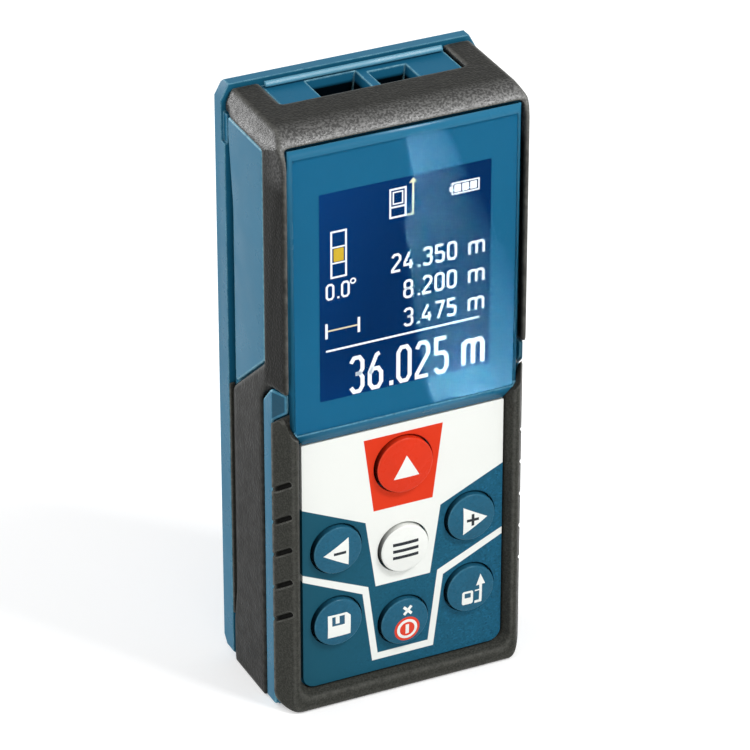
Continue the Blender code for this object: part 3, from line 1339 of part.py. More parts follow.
def coil_spring(name, place, direction):
    """Coil contact as one unbroken wire."""
    path = spring_path()
    curve = bpy.data.curves.new(name, "CURVE")
    curve.dimensions = "3D"
    curve.bevel_depth = SPRING_WIRE_RADIUS
    curve.bevel_resolution = 1
    curve.use_fill_caps = True
    spline = curve.splines.new("POLY")
    spline.points.add(len(path) - 1)
    for point, position in zip(spline.points, path):
        point.co = (*position, 1.0)
    item = bpy.data.objects.new(name, curve)
    PARTS.objects.link(item)
    item.parent = ROOT
    item.matrix_world = Matrix.Translation(place) @ TURNS_TO[direction]
    finish(item, "steel")
    print(f"{name}: least gap between turns {least_self_gap(path) * 1000:.2f} mm")


def build_contacts():
    """Coil contacts and contact plates at the two ends of the bay."""
    low = BAY_BOTTOM + CLEARANCE
    high = BAY_TOP - CLEARANCE
    coil_spring("battery_spring_left", (-CELL_X, CELL_Y, low + CONTACT_THICKNESS + CLEARANCE), "+Z")
    coil_spring("battery_spring_right", (CELL_X, CELL_Y, high - CONTACT_THICKNESS - CLEARANCE), "-Z")
    half = CONTACT_WIDTH / 2
    front = CELL_Y - CONTACT_DEPTH / 2
    back = CELL_Y + CONTACT_DEPTH / 2
    plates = (
        ("contact_bridge", -CELL_X - half, CELL_X + half, low, low + CONTACT_THICKNESS),
        ("contact_positive", -CELL_X - half, -CELL_X + half, high - CONTACT_THICKNESS, high),
        ("contact_negative", CELL_X - half, CELL_X + half, high - CONTACT_THICKNESS, high),
    )
    for name, left, right, bottom, top in plates:
        finish(box(name, (left, front, bottom), (right, back, top)), "tin")


def build_lid():
    """Battery lid that swings on its lower edge, and the latch at its upper edge."""
    lid = prism("battery_lid", [rectangle(LID_HALF, LID_BOTTOM, LID_TOP)], "XZ", LID_FRONT, BACK)
    for side_name, side_sign in (("left", -1), ("right", 1)):
        middle = side_sign * HOOK_OFFSET
        fuse(lid, box(
            "lid_hook_" + side_name,
            (middle - HOOK_WIDTH / 2, LID_FRONT - HOOK_DEPTH, LID_BOTTOM - HOOK_LENGTH),
            (middle + HOOK_WIDTH / 2, LID_FRONT + HOOK_GRIP, LID_BOTTOM + HOOK_ROOT),
        ))
    room_half = LATCH_HALF_WIDTH + CLEARANCE
    latch_bottom = LID_TOP - CLEARANCE - LATCH_LENGTH
    cut(lid, box(
        "lid_latch_room",
        (-room_half, LID_FRONT - OVERRUN, latch_bottom - LATCH_TRAVEL - CLEARANCE),
        (room_half, BACK + OVERRUN, LID_TOP + OVERRUN),
    ))
    move_origin(lid, (0.0, BACK, LID_BOTTOM))
    finish(lid, "blue_plastic")
    latch = box(
        "lid_latch",
        (-LATCH_HALF_WIDTH, LID_FRONT, latch_bottom),
        (LATCH_HALF_WIDTH, BACK, latch_bottom + LATCH_LENGTH),
    )
    move_origin(latch, (0.0, BACK, latch_bottom))
    finish(latch, "black_plastic")


def build_tripod_insert():
    """Brass insert for a tripod screw, open at both ends."""
    top = INSERT_LENGTH
    chamfer = INSERT_CHAMFER
    profile = [
        (INSERT_RADIUS, top),
        (INSERT_RADIUS, 0.0),
        (INSERT_BORE_RADIUS, 0.0),
        (INSERT_BORE_RADIUS, top - chamfer),
        (INSERT_BORE_RADIUS + chamfer, top),
    ]
    foot = (0, BACK - INSERT_SETBACK - INSERT_LENGTH, SOCKET_Z)
    finish(turned("tripod_insert", profile, foot, "+Y", closed=True), "brass")


def main():
    """Build every piece."""
    build_front_case()
    build_rear_case()
    build_upper_bumper()
    build_lower_bumper()
    build_display_window()
    build_keypad_panel()
    build_buttons()
    build_display()
    build_board()
    build_screws()
    build_optics()
    build_bezel()
    build_cells()
    build_contacts()
    build_lid()
    build_tripod_insert()


main()
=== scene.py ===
"""Looks of a hand-held laser distance meter: case, rubber, display, keys, optics, back, stage and light.

Lengths are millimetres until a mesh is filled. X runs to the right, the front faces -Y and Z is up.
"""

import logging
import math
from collections.abc import Callable
from dataclasses import dataclass, field, replace
from enum import Enum
from functools import lru_cache

import bmesh
import bpy
import numpy as np
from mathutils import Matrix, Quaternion, Vector


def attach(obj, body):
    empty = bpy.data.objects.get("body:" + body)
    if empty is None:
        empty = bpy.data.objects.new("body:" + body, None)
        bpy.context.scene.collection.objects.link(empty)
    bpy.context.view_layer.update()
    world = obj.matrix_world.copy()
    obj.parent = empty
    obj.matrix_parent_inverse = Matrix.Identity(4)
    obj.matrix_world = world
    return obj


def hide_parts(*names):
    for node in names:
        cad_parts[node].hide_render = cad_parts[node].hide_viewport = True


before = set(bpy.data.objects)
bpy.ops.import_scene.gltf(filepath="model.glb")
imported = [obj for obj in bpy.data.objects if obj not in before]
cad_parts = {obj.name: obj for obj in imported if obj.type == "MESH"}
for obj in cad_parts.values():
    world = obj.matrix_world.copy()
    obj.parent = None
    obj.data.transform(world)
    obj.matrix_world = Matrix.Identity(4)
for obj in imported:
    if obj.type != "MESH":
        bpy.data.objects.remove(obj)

LOG = logging.getLogger("distance_meter")
MM = 0.001
TURN = 2.0 * math.pi
MERGE_DISTANCE = 1e-6
SMOOTH_ANGLE = 35.0
BENT_ANGLE = 16.0
FLAT_ANGLE = 0.5
LEAST_LENGTH = 1e-9
LEAST_COSINE = 0.5
EVENING = 0.5
CLOUD_DETAIL = 4.0
GRAIN_DETAIL = 3.0
COARSE_DETAIL = 1.0
CLOUD_RANGE = (0.3, 0.7)
EDGE_COSINES = (0.998, 0.92)
EDGE_SAMPLES = 4
SOFT_SAMPLES = 6
# Point attribute that carries painted highlight (up to 1) and painted shade (down to -1).
RIM = "rim"

Colour = tuple[float, float, float]
Point = tuple[float, float]
Points = tuple[Point, ...]
Place = tuple[float, float, float]
Sides = tuple[float, float, float, float]
Numbers = tuple[float, ...]
Array = np.ndarray
Rule = Callable[[Array], Array]
Socket = bpy.types.NodeSocket
Piece = bpy.types.Object
Shape = bmesh.types.BMesh
Feed = Socket | float | Colour

WHITE_PRINT: Colour = (0.86, 0.88, 0.84)
RED_PRINT: Colour = (0.72, 0.042, 0.012)
PETROL: Colour = (0.012, 0.122, 0.212)
# Pale petrol painted on the blue shell's edges as a highlight.
PETROL_HIGHLIGHT: Colour = (0.190, 0.430, 0.540)
INK: Colour = (0.010, 0.016, 0.022)


class Facing(Enum):
    """Which way a shape looks: where X, Y and Z stand among its drawing's across, up and depth."""

    FRONT = (0, 2, 1)
    TOP = (0, 1, 2)
    SIDE = (2, 0, 1)


class Graph:
    """Node tree of one material, with the few kinds of node that the finishes use."""

    def __init__(self, name: str) -> None:
        """Starts a Principled material that reads Object coordinates."""
        self.material = bpy.data.materials.new(name)
        self.material.use_nodes = True
        self.nodes = self.material.node_tree.nodes
        self.links = self.material.node_tree.links
        self.shader = next(node for node in self.nodes if node.type == "BSDF_PRINCIPLED")
        self.place = self.add("TexCoord", "Object")

    def feed(self, socket: Socket, value: Feed) -> None:
        """Links a socket, or sets a number or a colour on it."""
        if isinstance(value, Socket):
            self.links.new(value, socket)
        elif isinstance(value, tuple) and socket.type == "RGBA":
            socket.default_value = (*value, 1.0)
        else:
            socket.default_value = value

    def give(self, **values: Feed) -> None:
        """Feeds the shader's sockets, named with underscores for spaces."""
        for name, value in values.items():
            self.feed(self.shader.inputs[name.replace("_", " ")], value)

    def add(
        self, kind: str, output: str | int, inputs: dict[str | int, Feed] | None = None, **settings: str | int
    ) -> Socket:
        """Adds a node, makes its settings and feeds its inputs.

        Args:
            kind: Last part of the node type's name.
            output: Name or number of the output that is wanted.
            inputs: What each input gets, by name or number.
            settings: The node's own settings.

        Returns:
            The output.
        """
        node = self.nodes.new(f"ShaderNode{kind}")
        for name, setting in settings.items():
            setattr(node, name, setting)
        for name, value in (inputs or {}).items():
            self.feed(node.inputs[name], value)
        return node.outputs[output]

    def noise(self, scale: float, detail: float = 2.0) -> Socket:
        """Cloudy pattern from 0 to 1, at that many patches to a metre, with some finer layers."""
        return self.add("TexNoise", "Fac", {"Vector": self.place, "Scale": scale, "Detail": detail})

    def cloud(self, scale: float, start: float = 0.0, end: float = 1.0) -> Socket:
        """Soft clouds from start to end, at that many patches to a metre."""
        return self.span(self.noise(scale, CLOUD_DETAIL), *CLOUD_RANGE, start, end)

    def cells(self, scale: float) -> Socket:
        """One random value from 0 to 1 for each small cell, at that many cells to a metre."""
        colour = self.add("TexVoronoi", "Color", {"Vector": self.place, "Scale": scale})
        return self.add("SeparateColor", "Red", {"Color": colour})

    def span(
        self, value: Socket, low: float, high: float, start: float = 0.0, end: float = 1.0
    ) -> Socket:
        """Straight ramp from start at low to end at high, level beyond both."""
        ends = {"From Min": low, "From Max": high, "To Min": start, "To Max": end}
        return self.add("MapRange", "Result", {"Value": value, **ends})

    def mix(self, factor: Socket, first: Socket | Colour, second: Socket | Colour) -> Socket:
        """Colour that goes from first to second with factor."""
        node = self.nodes.new("ShaderNodeMix")
        node.data_type = "RGBA"
        sockets = [socket for socket in node.inputs if socket.type == "RGBA"]
        for socket, value in zip((node.inputs[0], *sockets), (factor, first, second)):
            self.feed(socket, value)
        return next(socket for socket in node.outputs if socket.type == "RGBA")

    def calc(self, operation: str, first: Socket | float, second: Socket | float = 0.0) -> Socket:
        """Result of one sum on one or two numbers."""
        return self.add("Math", 0, {0: first, 1: second}, operation=operation)

    def bump(self, height: Socket, strength: float, depth: float, under: Socket | None = None) -> Socket:
        """Normal tilted by a pattern of a depth in millimetres, with some strength, over another normal."""
        lower = {} if under is None else {"Normal": under}
        inputs = {"Height": height, "Strength": strength, "Distance": depth * MM}
        return self.add("Bump", "Normal", inputs | lower)

    def soft_normal(self, radius: float, samples: int = SOFT_SAMPLES) -> Socket:
        """Normal that turns gently over sharp edges, within radius millimetres."""
        return self.add("Bevel", "Normal", {"Radius": radius * MM}, samples=samples)

    def edges(self, radius: float) -> Socket:
        """1 along sharp edges, 0 on flat ground: how far a normal rounded over radius leans from the true."""
        normals = {0: self.soft_normal(radius, EDGE_SAMPLES), 1: self.add("NewGeometry", "Normal")}
        return self.span(self.add("VectorMath", "Value", normals, operation="DOT_PRODUCT"), *EDGE_COSINES)

    def rim(self) -> Socket:
        """The piece's own value: up to 1 for a painted highlight on rounded rims, down to -1 for painted
        shade in pits, 0 where it has neither.
        """
        return self.add("Attribute", "Fac", attribute_name=RIM)

    def axis(self, name: str) -> Socket:
        """One Object coordinate in millimetres."""
        return self.calc("MULTIPLY", self.add("SeparateXYZ", name, {"Vector": self.place}), 1.0 / MM)


class LightGraph(Graph):
    """Node tree of a lamp, of the world or of a ground that glows."""

    def __init__(self, owner: bpy.types.ID, shader: str) -> None:
        """Starts from the owner's own shader of one type."""
        owner.use_nodes = True
        self.nodes = owner.node_tree.nodes
        self.links = owner.node_tree.links
        self.shader = next(node for node in self.nodes if node.type == shader)


@dataclass(frozen=True)
class Finish:
    """Moulded, painted or metal ground: mottled colour, paler edges that are mostly a painted highlight,
    painted shade in pits, uneven gloss and a fine grain.
    """

    name: str
    colour: Colour
    roughness: float = 0.45
    uneven: float = 0.07
    specular: float = 0.3
    metal: float = 0.0
    mottle: float = 0.10
    mottle_scale: float = 220.0
    grain_scale: float = 5200.0
    grain_depth: float = 0.012
    grain_strength: float = 0.5
    gloss_patches: float = 2.5
    # Paler colour on edges and rims: on the blue plastics, keys, window rim and rubber it is a painted
    # highlight.
    wear_and_highlight: Colour | None = None
    edge_radius: float = 0.35
    patch_scale: float = 900.0
    patch_range: Point = (0.25, 0.65)
    patch_least: float = 0.25
    # Share of the colour left where the rim value is negative: painted shade.
    painted_shade_tint: float = 0.06
    soft: float = 0.0
    coat: float = 0.0
    coat_roughness: float = 0.08
    glow: float = 0.0

    def tint(self, factor: float) -> Colour:
        """The colour made paler or darker by a factor."""
        return tuple(min(1.0, channel * factor) for channel in self.colour)

    def ground(self, graph: Graph) -> Socket:
        """Base colour: cloudy mix of a darker and a paler tint."""
        cloud = graph.cloud(self.mottle_scale)
        return graph.mix(cloud, self.tint(1.0 - self.mottle), self.tint(1.0 + self.mottle))

    def relief(self, graph: Graph) -> Socket:
        """Normal of the fine grain, over softened edges where the finish has them."""
        under = graph.soft_normal(self.soft) if self.soft else None
        grain = graph.noise(self.grain_scale, GRAIN_DETAIL)
        return graph.bump(grain, self.grain_strength, self.grain_depth, under)

    def wear_and_highlight_mask(self, graph: Graph) -> Socket:
        """Where the edges take the paler edge colour, mostly a painted highlight, from 0 to 1."""
        return graph.edges(self.edge_radius)

    def make(self) -> bpy.types.Material:
        """Builds the material.

        Returns:
            The finished material.
        """
        graph = Graph(self.name)
        colour = self.ground(graph)
        # Edges and positive rim values take the paler edge colour, mostly a painted highlight; negative rim
        # values darken the ground as painted shade.
        if self.wear_and_highlight is not None:
            patchy = graph.span(graph.noise(self.patch_scale, GRAIN_DETAIL), *self.patch_range, self.patch_least)
            rim = graph.rim()
            edges = graph.calc("MAXIMUM", self.wear_and_highlight_mask(graph), rim)
            colour = graph.mix(graph.calc("MULTIPLY", edges, patchy), colour, self.wear_and_highlight)
            colour = graph.mix(graph.calc("MULTIPLY", rim, -1.0), colour, self.tint(self.painted_shade_tint))
        gloss_scale = self.mottle_scale * self.gloss_patches
        gloss = graph.cloud(gloss_scale, self.roughness - self.uneven, self.roughness + self.uneven)
        graph.give(Base_Color=colour, Roughness=gloss, Normal=self.relief(graph))
        graph.give(Metallic=self.metal, Specular_IOR_Level=self.specular)
        graph.give(Coat_Weight=self.coat, Coat_Roughness=self.coat_roughness)
        if self.glow:
            graph.give(Emission_Color=self.colour, Emission_Strength=self.glow)
        return graph.material


@dataclass(frozen=True)
class Rubber(Finish):
    """Soft moulded rubber with a coarse leather grain that catches the light in specks."""

    coarse_scale: float = 2600.0
    coarse_depth: float = 0.10
    coarse_strength: float = 0.8
    speck_range: Point = (0.40, 0.64)

    def specked(self, graph: Graph, colour: Colour) -> Socket:
        """A darker tint of a colour with a paler one in specks on the grain's tops."""
        specks = graph.span(graph.noise(self.coarse_scale, COARSE_DETAIL), *self.speck_range)
        factors = (1.0 - self.mottle, 1.0 + self.mottle)
        dark, pale = (tuple(channel * factor for channel in colour) for factor in factors)
        return graph.mix(specks, dark, pale)

    def ground(self, graph: Graph) -> Socket:
        """Base colour: dark ground with paler specks."""
        return self.specked(graph, self.colour)

    def relief(self, graph: Graph) -> Socket:
        """Normal of the coarse grain with a finer one on it."""
        fine = super().relief(graph)
        coarse = graph.noise(self.coarse_scale, COARSE_DETAIL)
        return graph.bump(coarse, self.coarse_strength, self.coarse_depth, fine)


@dataclass(frozen=True)
class RoundedRubber(Rubber):
    """Rubber on an even skin of small faces, with a painted highlight where it bulges and a painted sheen on
    its top front.
    """

    flat: float = 0.506
    bulge: float = 0.530
    # Paler rubber painted on the arch's top front as a sheen.
    painted_sheen: Colour = (0.046, 0.046, 0.045)
    sheen_depth: Point = (-5.5, -10.5)
    sheen_height: Point = (96.0, 98.5)

    def ground(self, graph: Graph) -> Socket:
        """Base colour: dark ground, with a painted sheen on the top front."""
        forward = graph.span(graph.axis("Y"), *self.sheen_depth)
        high = graph.span(graph.axis("Z"), *self.sheen_height)
        share = graph.calc("MULTIPLY", forward, high)
        return graph.mix(share, self.specked(graph, self.colour), self.specked(graph, self.painted_sheen))

    def wear_and_highlight_mask(self, graph: Graph) -> Socket:
        """Where the skin bulges, from 0 to 1, for the painted highlight."""
        return graph.span(graph.add("NewGeometry", "Pointiness"), self.flat, self.bulge)


@dataclass(frozen=True)
class Pocketed(Finish):
    """Moulded ground with painted shade deep in its pockets: black below their mouths."""

    pocket: Point = (103.6, 103.1)
    pocket_shade_tint: float = 0.02

    def ground(self, graph: Graph) -> Socket:
        """Base colour: mottled ground, painted black as shade below the pockets' mouths."""
        deep = graph.span(graph.axis("Z"), *self.pocket)
        return graph.mix(deep, super().ground(graph), self.tint(self.pocket_shade_tint))


@dataclass(frozen=True)
class Flecked(Finish):
    """Paint with a fine metallic fleck."""

    fleck_scale: float = 3300.0
    fleck: float = 0.55
    fleck_patches: float = 0.4
    fleck_range: Point = (0.35, 0.65)

    def ground(self, graph: Graph) -> Socket:
        """Base colour: the cloudy colour with each small cell a little paler or darker."""
        base = super().ground(graph)
        dark, pale = self.tint(1.0 - self.fleck), self.tint(1.0 + self.fleck)
        flecks = graph.mix(graph.cells(self.fleck_scale), dark, pale)
        patches = graph.span(graph.noise(self.fleck_scale * self.fleck_patches), *self.fleck_range)
        return graph.mix(patches, base, flecks)


@dataclass(frozen=True)
class KeypadPrint(Flecked):
    """Keypad print on flecked blue: pale upper field and tongue, pale line, warm panel round the main key.

    Each field is a set of half planes of the distance from the middle and the height, in millimetres.
    """

    pale: Colour = WHITE_PRINT
    warm: Colour = RED_PRINT
    cool: Colour = (0.0105, 0.084, 0.130)
    cool_side: Point = (-16.0, 16.0)
    cool_share: Point = (0.35, 0.75)
    panel_top: Point = (7.1, 48.1)
    panel_foot: Point = (5.33, 34.4)
    field_outer: Point = (18.2, 37.85)
    field_inner: Point = (6.78, 32.6)
    tongue_foot: Point = (4.95, 20.0)
    line_outer: tuple[Point, Point, Point] = ((18.3, 24.3), (7.35, 19.1), (5.6, 5.7))
    line_inner: tuple[Point, Point, Point] = ((18.3, 25.6), (6.3, 20.2), (4.6, 7.0))
    soft: float = 0.03

    def left_of(self, graph: Graph, place: tuple[Socket, Socket], start: Point, end: Point) -> Socket:
        """1 on the left of the line from start to end: the cross product over the line's length, cut at zero.

        Args:
            graph: Material being built.
            place: Distance from the middle and height.
            start: A point of the line.
            end: A later point of the line.

        Returns:
            1 on the left, 0 on the right.
        """
        along = (end[0] - start[0], end[1] - start[1])
        length = math.hypot(*along)
        rise = graph.calc("MULTIPLY", graph.calc("SUBTRACT", place[1], start[1]), along[0] / length)
        run = graph.calc("MULTIPLY", graph.calc("SUBTRACT", place[0], start[0]), along[1] / length)
        return graph.span(graph.calc("SUBTRACT", rise, run), -self.soft, self.soft)

    def inside_line(
        self, graph: Graph, place: tuple[Socket, Socket], corners: tuple[Point, Point, Point]
    ) -> Socket:
        """1 above the line that runs in from the side, down to its foot and across.

        Args:
            graph: Material being built.
            place: Distance from the middle and height.
            corners: Outer end, bend and foot of the line.

        Returns:
            1 inside the line, 0 outside.
        """
        outer, bend, foot = corners
        beside = self.left_of(graph, place, foot, bend)
        above = self.left_of(graph, place, bend, outer)
        over = self.left_of(graph, place, (0.0, foot[1]), foot)
        return graph.calc("MINIMUM", over, graph.calc("MAXIMUM", beside, above))

    def ground(self, graph: Graph) -> Socket:
        """Base colour: flecked blue, then the pale fields, then the warm panel."""
        blue = graph.mix(graph.span(graph.axis("X"), *self.cool_side), self.cool, super().ground(graph))
        specks = graph.span(graph.noise(self.fleck_scale), *self.fleck_range, *self.cool_share)
        blue = graph.mix(specks, self.cool, blue)
        place = (graph.calc("ABSOLUTE", graph.axis("X")), graph.axis("Z"))
        upper = self.inside_line(graph, place, (self.field_outer, self.field_inner, self.tongue_foot))
        band = graph.calc(
            "SUBTRACT",
            self.inside_line(graph, place, self.line_outer),
            self.inside_line(graph, place, self.line_inner),
        )
        colour = graph.mix(graph.calc("MAXIMUM", upper, band), blue, self.pale)
        corners = ((0.0, self.panel_foot[1]), self.panel_foot, self.panel_top, (0.0, self.panel_top[1]))
        over, beside, under = (self.left_of(graph, place, *ends) for ends in zip(corners, corners[1:]))
        panel = graph.calc("MINIMUM", graph.calc("MINIMUM", beside, over), under)
        return graph.mix(panel, colour, self.warm)


@dataclass(frozen=True)
class Picture(Finish):
    """Dark display ground: paler towards the top left and the foot, with faint dots."""

    deep: Colour = (0.0008, 0.021, 0.090)
    corner: Point = (-15.0, 94.5)
    down_weight: float = 0.55
    fade: float = 22.0
    foot: Point = (66.0, 57.5)
    foot_share: float = 0.55
    dot_scale: float = 5200.0
    dot_share: float = 0.12
    dot_tint: float = 1.8

    def ground(self, graph: Graph) -> Socket:
        """Base colour: from the corner colour to the deep one with the distance from the top left corner."""
        across = graph.calc("SUBTRACT", graph.axis("X"), self.corner[0])
        down = graph.calc("SUBTRACT", self.corner[1], graph.axis("Z"))
        away = graph.calc("ADD", across, graph.calc("MULTIPLY", down, self.down_weight))
        tone = graph.mix(graph.span(away, 0.0, self.fade), self.colour, self.deep)
        tone = graph.mix(graph.span(graph.axis("Z"), *self.foot, 0.0, self.foot_share), tone, self.colour)
        dots = graph.span(graph.cells(self.dot_scale), 0.0, 1.0, 0.0, self.dot_share)
        return graph.mix(dots, tone, self.tint(self.dot_tint))


@dataclass(frozen=True)
class Pane:
    """Clear gloss cover: nothing but a reflection, whose share grows with a power of the view's slant."""

    name: str
    least: float = 0.0011
    most: float = 0.25
    power: float = 8.0
    roughness: float = 0.005
    smear_scale: float = 160.0
    smear_gain: float = 2.0
    ripple_scale: float = 300.0
    ripple_strength: float = 0.05
    ripple_depth: float = 0.002

    def make(self) -> bpy.types.Material:
        """Builds the material.

        Returns:
            A mirror whose alpha is the reflected share.
        """
        graph = Graph(self.name)
        slant = graph.add("LayerWeight", "Facing")
        share = graph.calc("MULTIPLY", graph.calc("POWER", slant, self.power), self.most)
        smear = graph.cloud(self.smear_scale, self.roughness, self.roughness * self.smear_gain)
        ripple = graph.bump(graph.noise(self.ripple_scale), self.ripple_strength, self.ripple_depth)
        graph.give(Base_Color=(1.0, 1.0, 1.0), Metallic=1.0, Roughness=smear, Normal=ripple)
        graph.give(Alpha=graph.calc("ADD", share, self.least))
        return graph.material


@dataclass(frozen=True)
class CoatedGlass(Finish):
    """Dark coated lens glass: almost black ground, with a green reflection painted into it towards the rim,
    under a mirror coat.
    """

    painted_reflection: Colour = (0.02, 0.10, 0.07)
    blend: float = 0.45

    def ground(self, graph: Graph) -> Socket:
        """Base colour: dark, with a painted green reflection where the glass is seen at a slant."""
        return graph.mix(graph.add("LayerWeight", "Facing", {"Blend": self.blend}), self.colour, self.painted_reflection)


# The blue shell's pale edge colour is a painted highlight.
BLUE_SHELL = Finish(
    "blue_shell", PETROL, roughness=0.30, specular=0.1, wear_and_highlight=PETROL_HIGHLIGHT, soft=0.35, mottle=0.05,
    mottle_scale=70.0,
)
# The inset's pale edge colour is a painted highlight on the pockets' rims, and its pockets get painted shade.
BLUE_INSET = Pocketed(
    "blue_inset", (0.011, 0.112, 0.205), roughness=0.30, specular=0.03, wear_and_highlight=(0.28, 0.56, 0.66),
    edge_radius=0.5, soft=0.35, mottle=0.05, mottle_scale=70.0,
)
# Pale blue painted on the ridge as a highlight along the back of the top inset.
RIDGE_HIGHLIGHT = replace(BLUE_SHELL, name="painted_ridge_highlight", colour=(0.10, 0.30, 0.42), wear_and_highlight=None, roughness=0.22)
# The keys' pale edge colours are painted highlights on their rims.
BLUE_KEY = Flecked(
    "blue_key", (0.014, 0.104, 0.176), roughness=0.30, specular=0.12, fleck=0.15, wear_and_highlight=(0.09, 0.27, 0.36),
    edge_radius=0.3,
)
RED_KEY = Finish(
    "red_key", (0.70, 0.036, 0.009), roughness=0.28, specular=0.12, mottle=0.04, wear_and_highlight=(0.80, 0.13, 0.07),
    edge_radius=0.25,
)
WHITE_KEY = Finish(
    "white_key", WHITE_PRINT, roughness=0.32, specular=0.15, mottle=0.03, wear_and_highlight=(0.90, 0.92, 0.89),
    edge_radius=0.2,
)
# Two copies of one black rubber: the arch's painted darker under its own lamps, the frame's painted paler to
# stand for light on its facets; the edge colour of both is a painted highlight.
BLACK_RUBBER = RoundedRubber(
    "black_rubber", (0.0052, 0.0052, 0.0044), roughness=0.36, specular=0.07, mottle=0.45,
    wear_and_highlight=(0.045, 0.045, 0.041),
)
FRAME_RUBBER = Rubber(
    "frame_rubber", (0.0400, 0.0408, 0.0350), roughness=0.46, specular=0.06, mottle=0.26, soft=0.4,
    coarse_scale=3400.0, wear_and_highlight=(0.17, 0.17, 0.155), edge_radius=0.45,
)
KEYPAD = KeypadPrint("keypad_print", (0.013, 0.118, 0.222), roughness=0.5, specular=0.07)
WINDOW_PRINT = Finish(
    "window_border", (0.011, 0.124, 0.245), roughness=0.5, specular=0.0, mottle=0.03, mottle_scale=60.0
)
# The window rim's paler blue and its pale edge colour are a painted highlight.
WINDOW_EDGE = Finish(
    "window_edge", (0.016, 0.150, 0.270), roughness=0.25, uneven=0.04, specular=0.16, mottle=0.03,
    mottle_scale=60.0, wear_and_highlight=(0.20, 0.46, 0.60), edge_radius=0.22, grain_depth=0.004,
)
# Pale strip painted along the pane's lower edge as a highlight.
WINDOW_HIGHLIGHT_LINE = Flecked("window_highlight_line", (0.11, 0.30, 0.42), roughness=0.3, specular=0.12, fleck=0.6)
PICTURE = Picture("picture_ground", (0.0022, 0.038, 0.160), roughness=0.6, specular=0.0)
PICTURE_WHITE = Finish(
    "picture_white", (0.85, 0.90, 0.95), roughness=0.6, specular=0.1, mottle=0.02, glow=0.12
)
PICTURE_CREAM = replace(
    PICTURE_WHITE, name="picture_cream", colour=(0.70, 0.62, 0.42), mottle=0.04, glow=0.08
)
PICTURE_YELLOW = replace(
    PICTURE_WHITE, name="picture_yellow", colour=(0.62, 0.42, 0.03), mottle=0.06, glow=0.06
)
WINDOW_PANE = Pane("window_pane")
INK_WHITE = Finish("ink_white", WHITE_PRINT, roughness=0.45, mottle=0.03)
INK_DARK = Finish("ink_dark", INK, roughness=0.5, mottle=0.2)
INK_BLUE = Finish("ink_blue", (0.016, 0.090, 0.155), roughness=0.45, mottle=0.1)
INK_RED = Finish("ink_red", RED_PRINT, roughness=0.45, mottle=0.05)
LENS = CoatedGlass("coated_glass", (0.004, 0.006, 0.006), roughness=0.06, uneven=0.02, specular=0.7, coat=0.6)
BLACK_PLASTIC = Finish("black_plastic", (0.018, 0.018, 0.019), roughness=0.5, wear_and_highlight=(0.06, 0.06, 0.06))
STEEL = Finish("bright_steel", (0.60, 0.61, 0.62), roughness=0.30, metal=1.0, wear_and_highlight=(0.85, 0.85, 0.86))
TIN = Finish("tin_plate", (0.66, 0.66, 0.64), roughness=0.38, metal=1.0, mottle=0.06)
BRASS = Finish("turned_brass", (0.62, 0.42, 0.16), roughness=0.30, metal=1.0, wear_and_highlight=(0.85, 0.66, 0.36))
FOAM = Rubber("gasket_foam", (0.030, 0.030, 0.030), roughness=0.9, specular=0.1, coarse_scale=3600.0)
BOARD = Finish("board_mask", (0.010, 0.085, 0.030), roughness=0.34, mottle=0.25, mottle_scale=900.0)
FILM = Finish("amber_film", (0.45, 0.18, 0.03), roughness=0.25)
GUIDE = Finish("milky_guide", (0.78, 0.80, 0.81), roughness=0.4)
SLEEVE = Finish("cell_sleeve", (0.060, 0.065, 0.072), roughness=0.28, coat=0.4)
LABEL = Finish("bare_label", (0.30, 0.31, 0.32), roughness=0.36, mottle=0.05, wear_and_highlight=(0.55, 0.56, 0.57))


@lru_cache(maxsize=None)
def material(finish: Finish | Pane) -> bpy.types.Material:
    """The one material of a finish."""
    return finish.make()


@dataclass
class Surface:
    """Points in millimetres, the corner numbers of each face, and each point's rim value: painted highlight
    up to 1, painted shade down to -1.
    """

    points: Array
    faces: list[tuple[int, ...]]
    rim: Array | float = 0.0

    def rims(self) -> Array:
        """One rim value for each point."""
        return np.broadcast_to(self.rim, len(self.points))

    def mirrored(self) -> "Surface":
        """The same surface on the other side of the middle."""
        return Surface(self.points * (-1.0, 1.0, 1.0), self.faces, self.rim)

    def __add__(self, other: "Surface") -> "Surface":
        """Both surfaces as one, the second's corner numbers moved on."""
        shift = len(self.points)
        moved = [tuple(corner + shift for corner in face) for face in other.faces]
        points = np.concatenate((self.points, other.points))
        return Surface(points, self.faces + moved, np.concatenate((self.rims(), other.rims())))


def together(surfaces: list[Surface]) -> Surface:
    """All the surfaces as one."""
    total = surfaces[0]
    for surface in surfaces[1:]:
        total = total + surface
    return total


def grid(
    points: Array, wrap_rows: bool = False, wrap_columns: bool = True, caps: bool = True
) -> Surface:
    """Quads between neighbours of a grid of points.

    Args:
        points: Array of rows, columns and three coordinates.
        wrap_rows: Whether the last row joins the first.
        wrap_columns: Whether the last column joins the first.
        caps: Whether the first and last rows are closed with a face each.

    Returns:
        The surface.
    """
    rows, columns = points.shape[:2]
    row, column = np.meshgrid(
        np.arange(rows if wrap_rows else rows - 1),
        np.arange(columns if wrap_columns else columns - 1),
        indexing="ij",
    )
    after, beside = (row + 1) % rows, (column + 1) % columns
    pairs = ((row, column), (row, beside), (after, beside), (after, column))
    corners = [first * columns + second for first, second in pairs]
    faces = [tuple(face) for face in np.stack(corners, axis=-1).reshape(-1, 4).tolist()]
    if caps and not wrap_rows:
        faces.append(tuple(range(columns)))
        faces.append(tuple(range((rows - 1) * columns, rows * columns)))
    return Surface(points.reshape(-1, 3), faces)


def laid(across: Array | float, up: Array | float, depth: Array | float, facing: Facing) -> Array:
    """Points from their place on a flat drawing and their depth, in the order of the facing."""
    parts = np.broadcast_arrays(across, up, depth)
    return np.stack([parts[number] for number in facing.value], axis=-1)


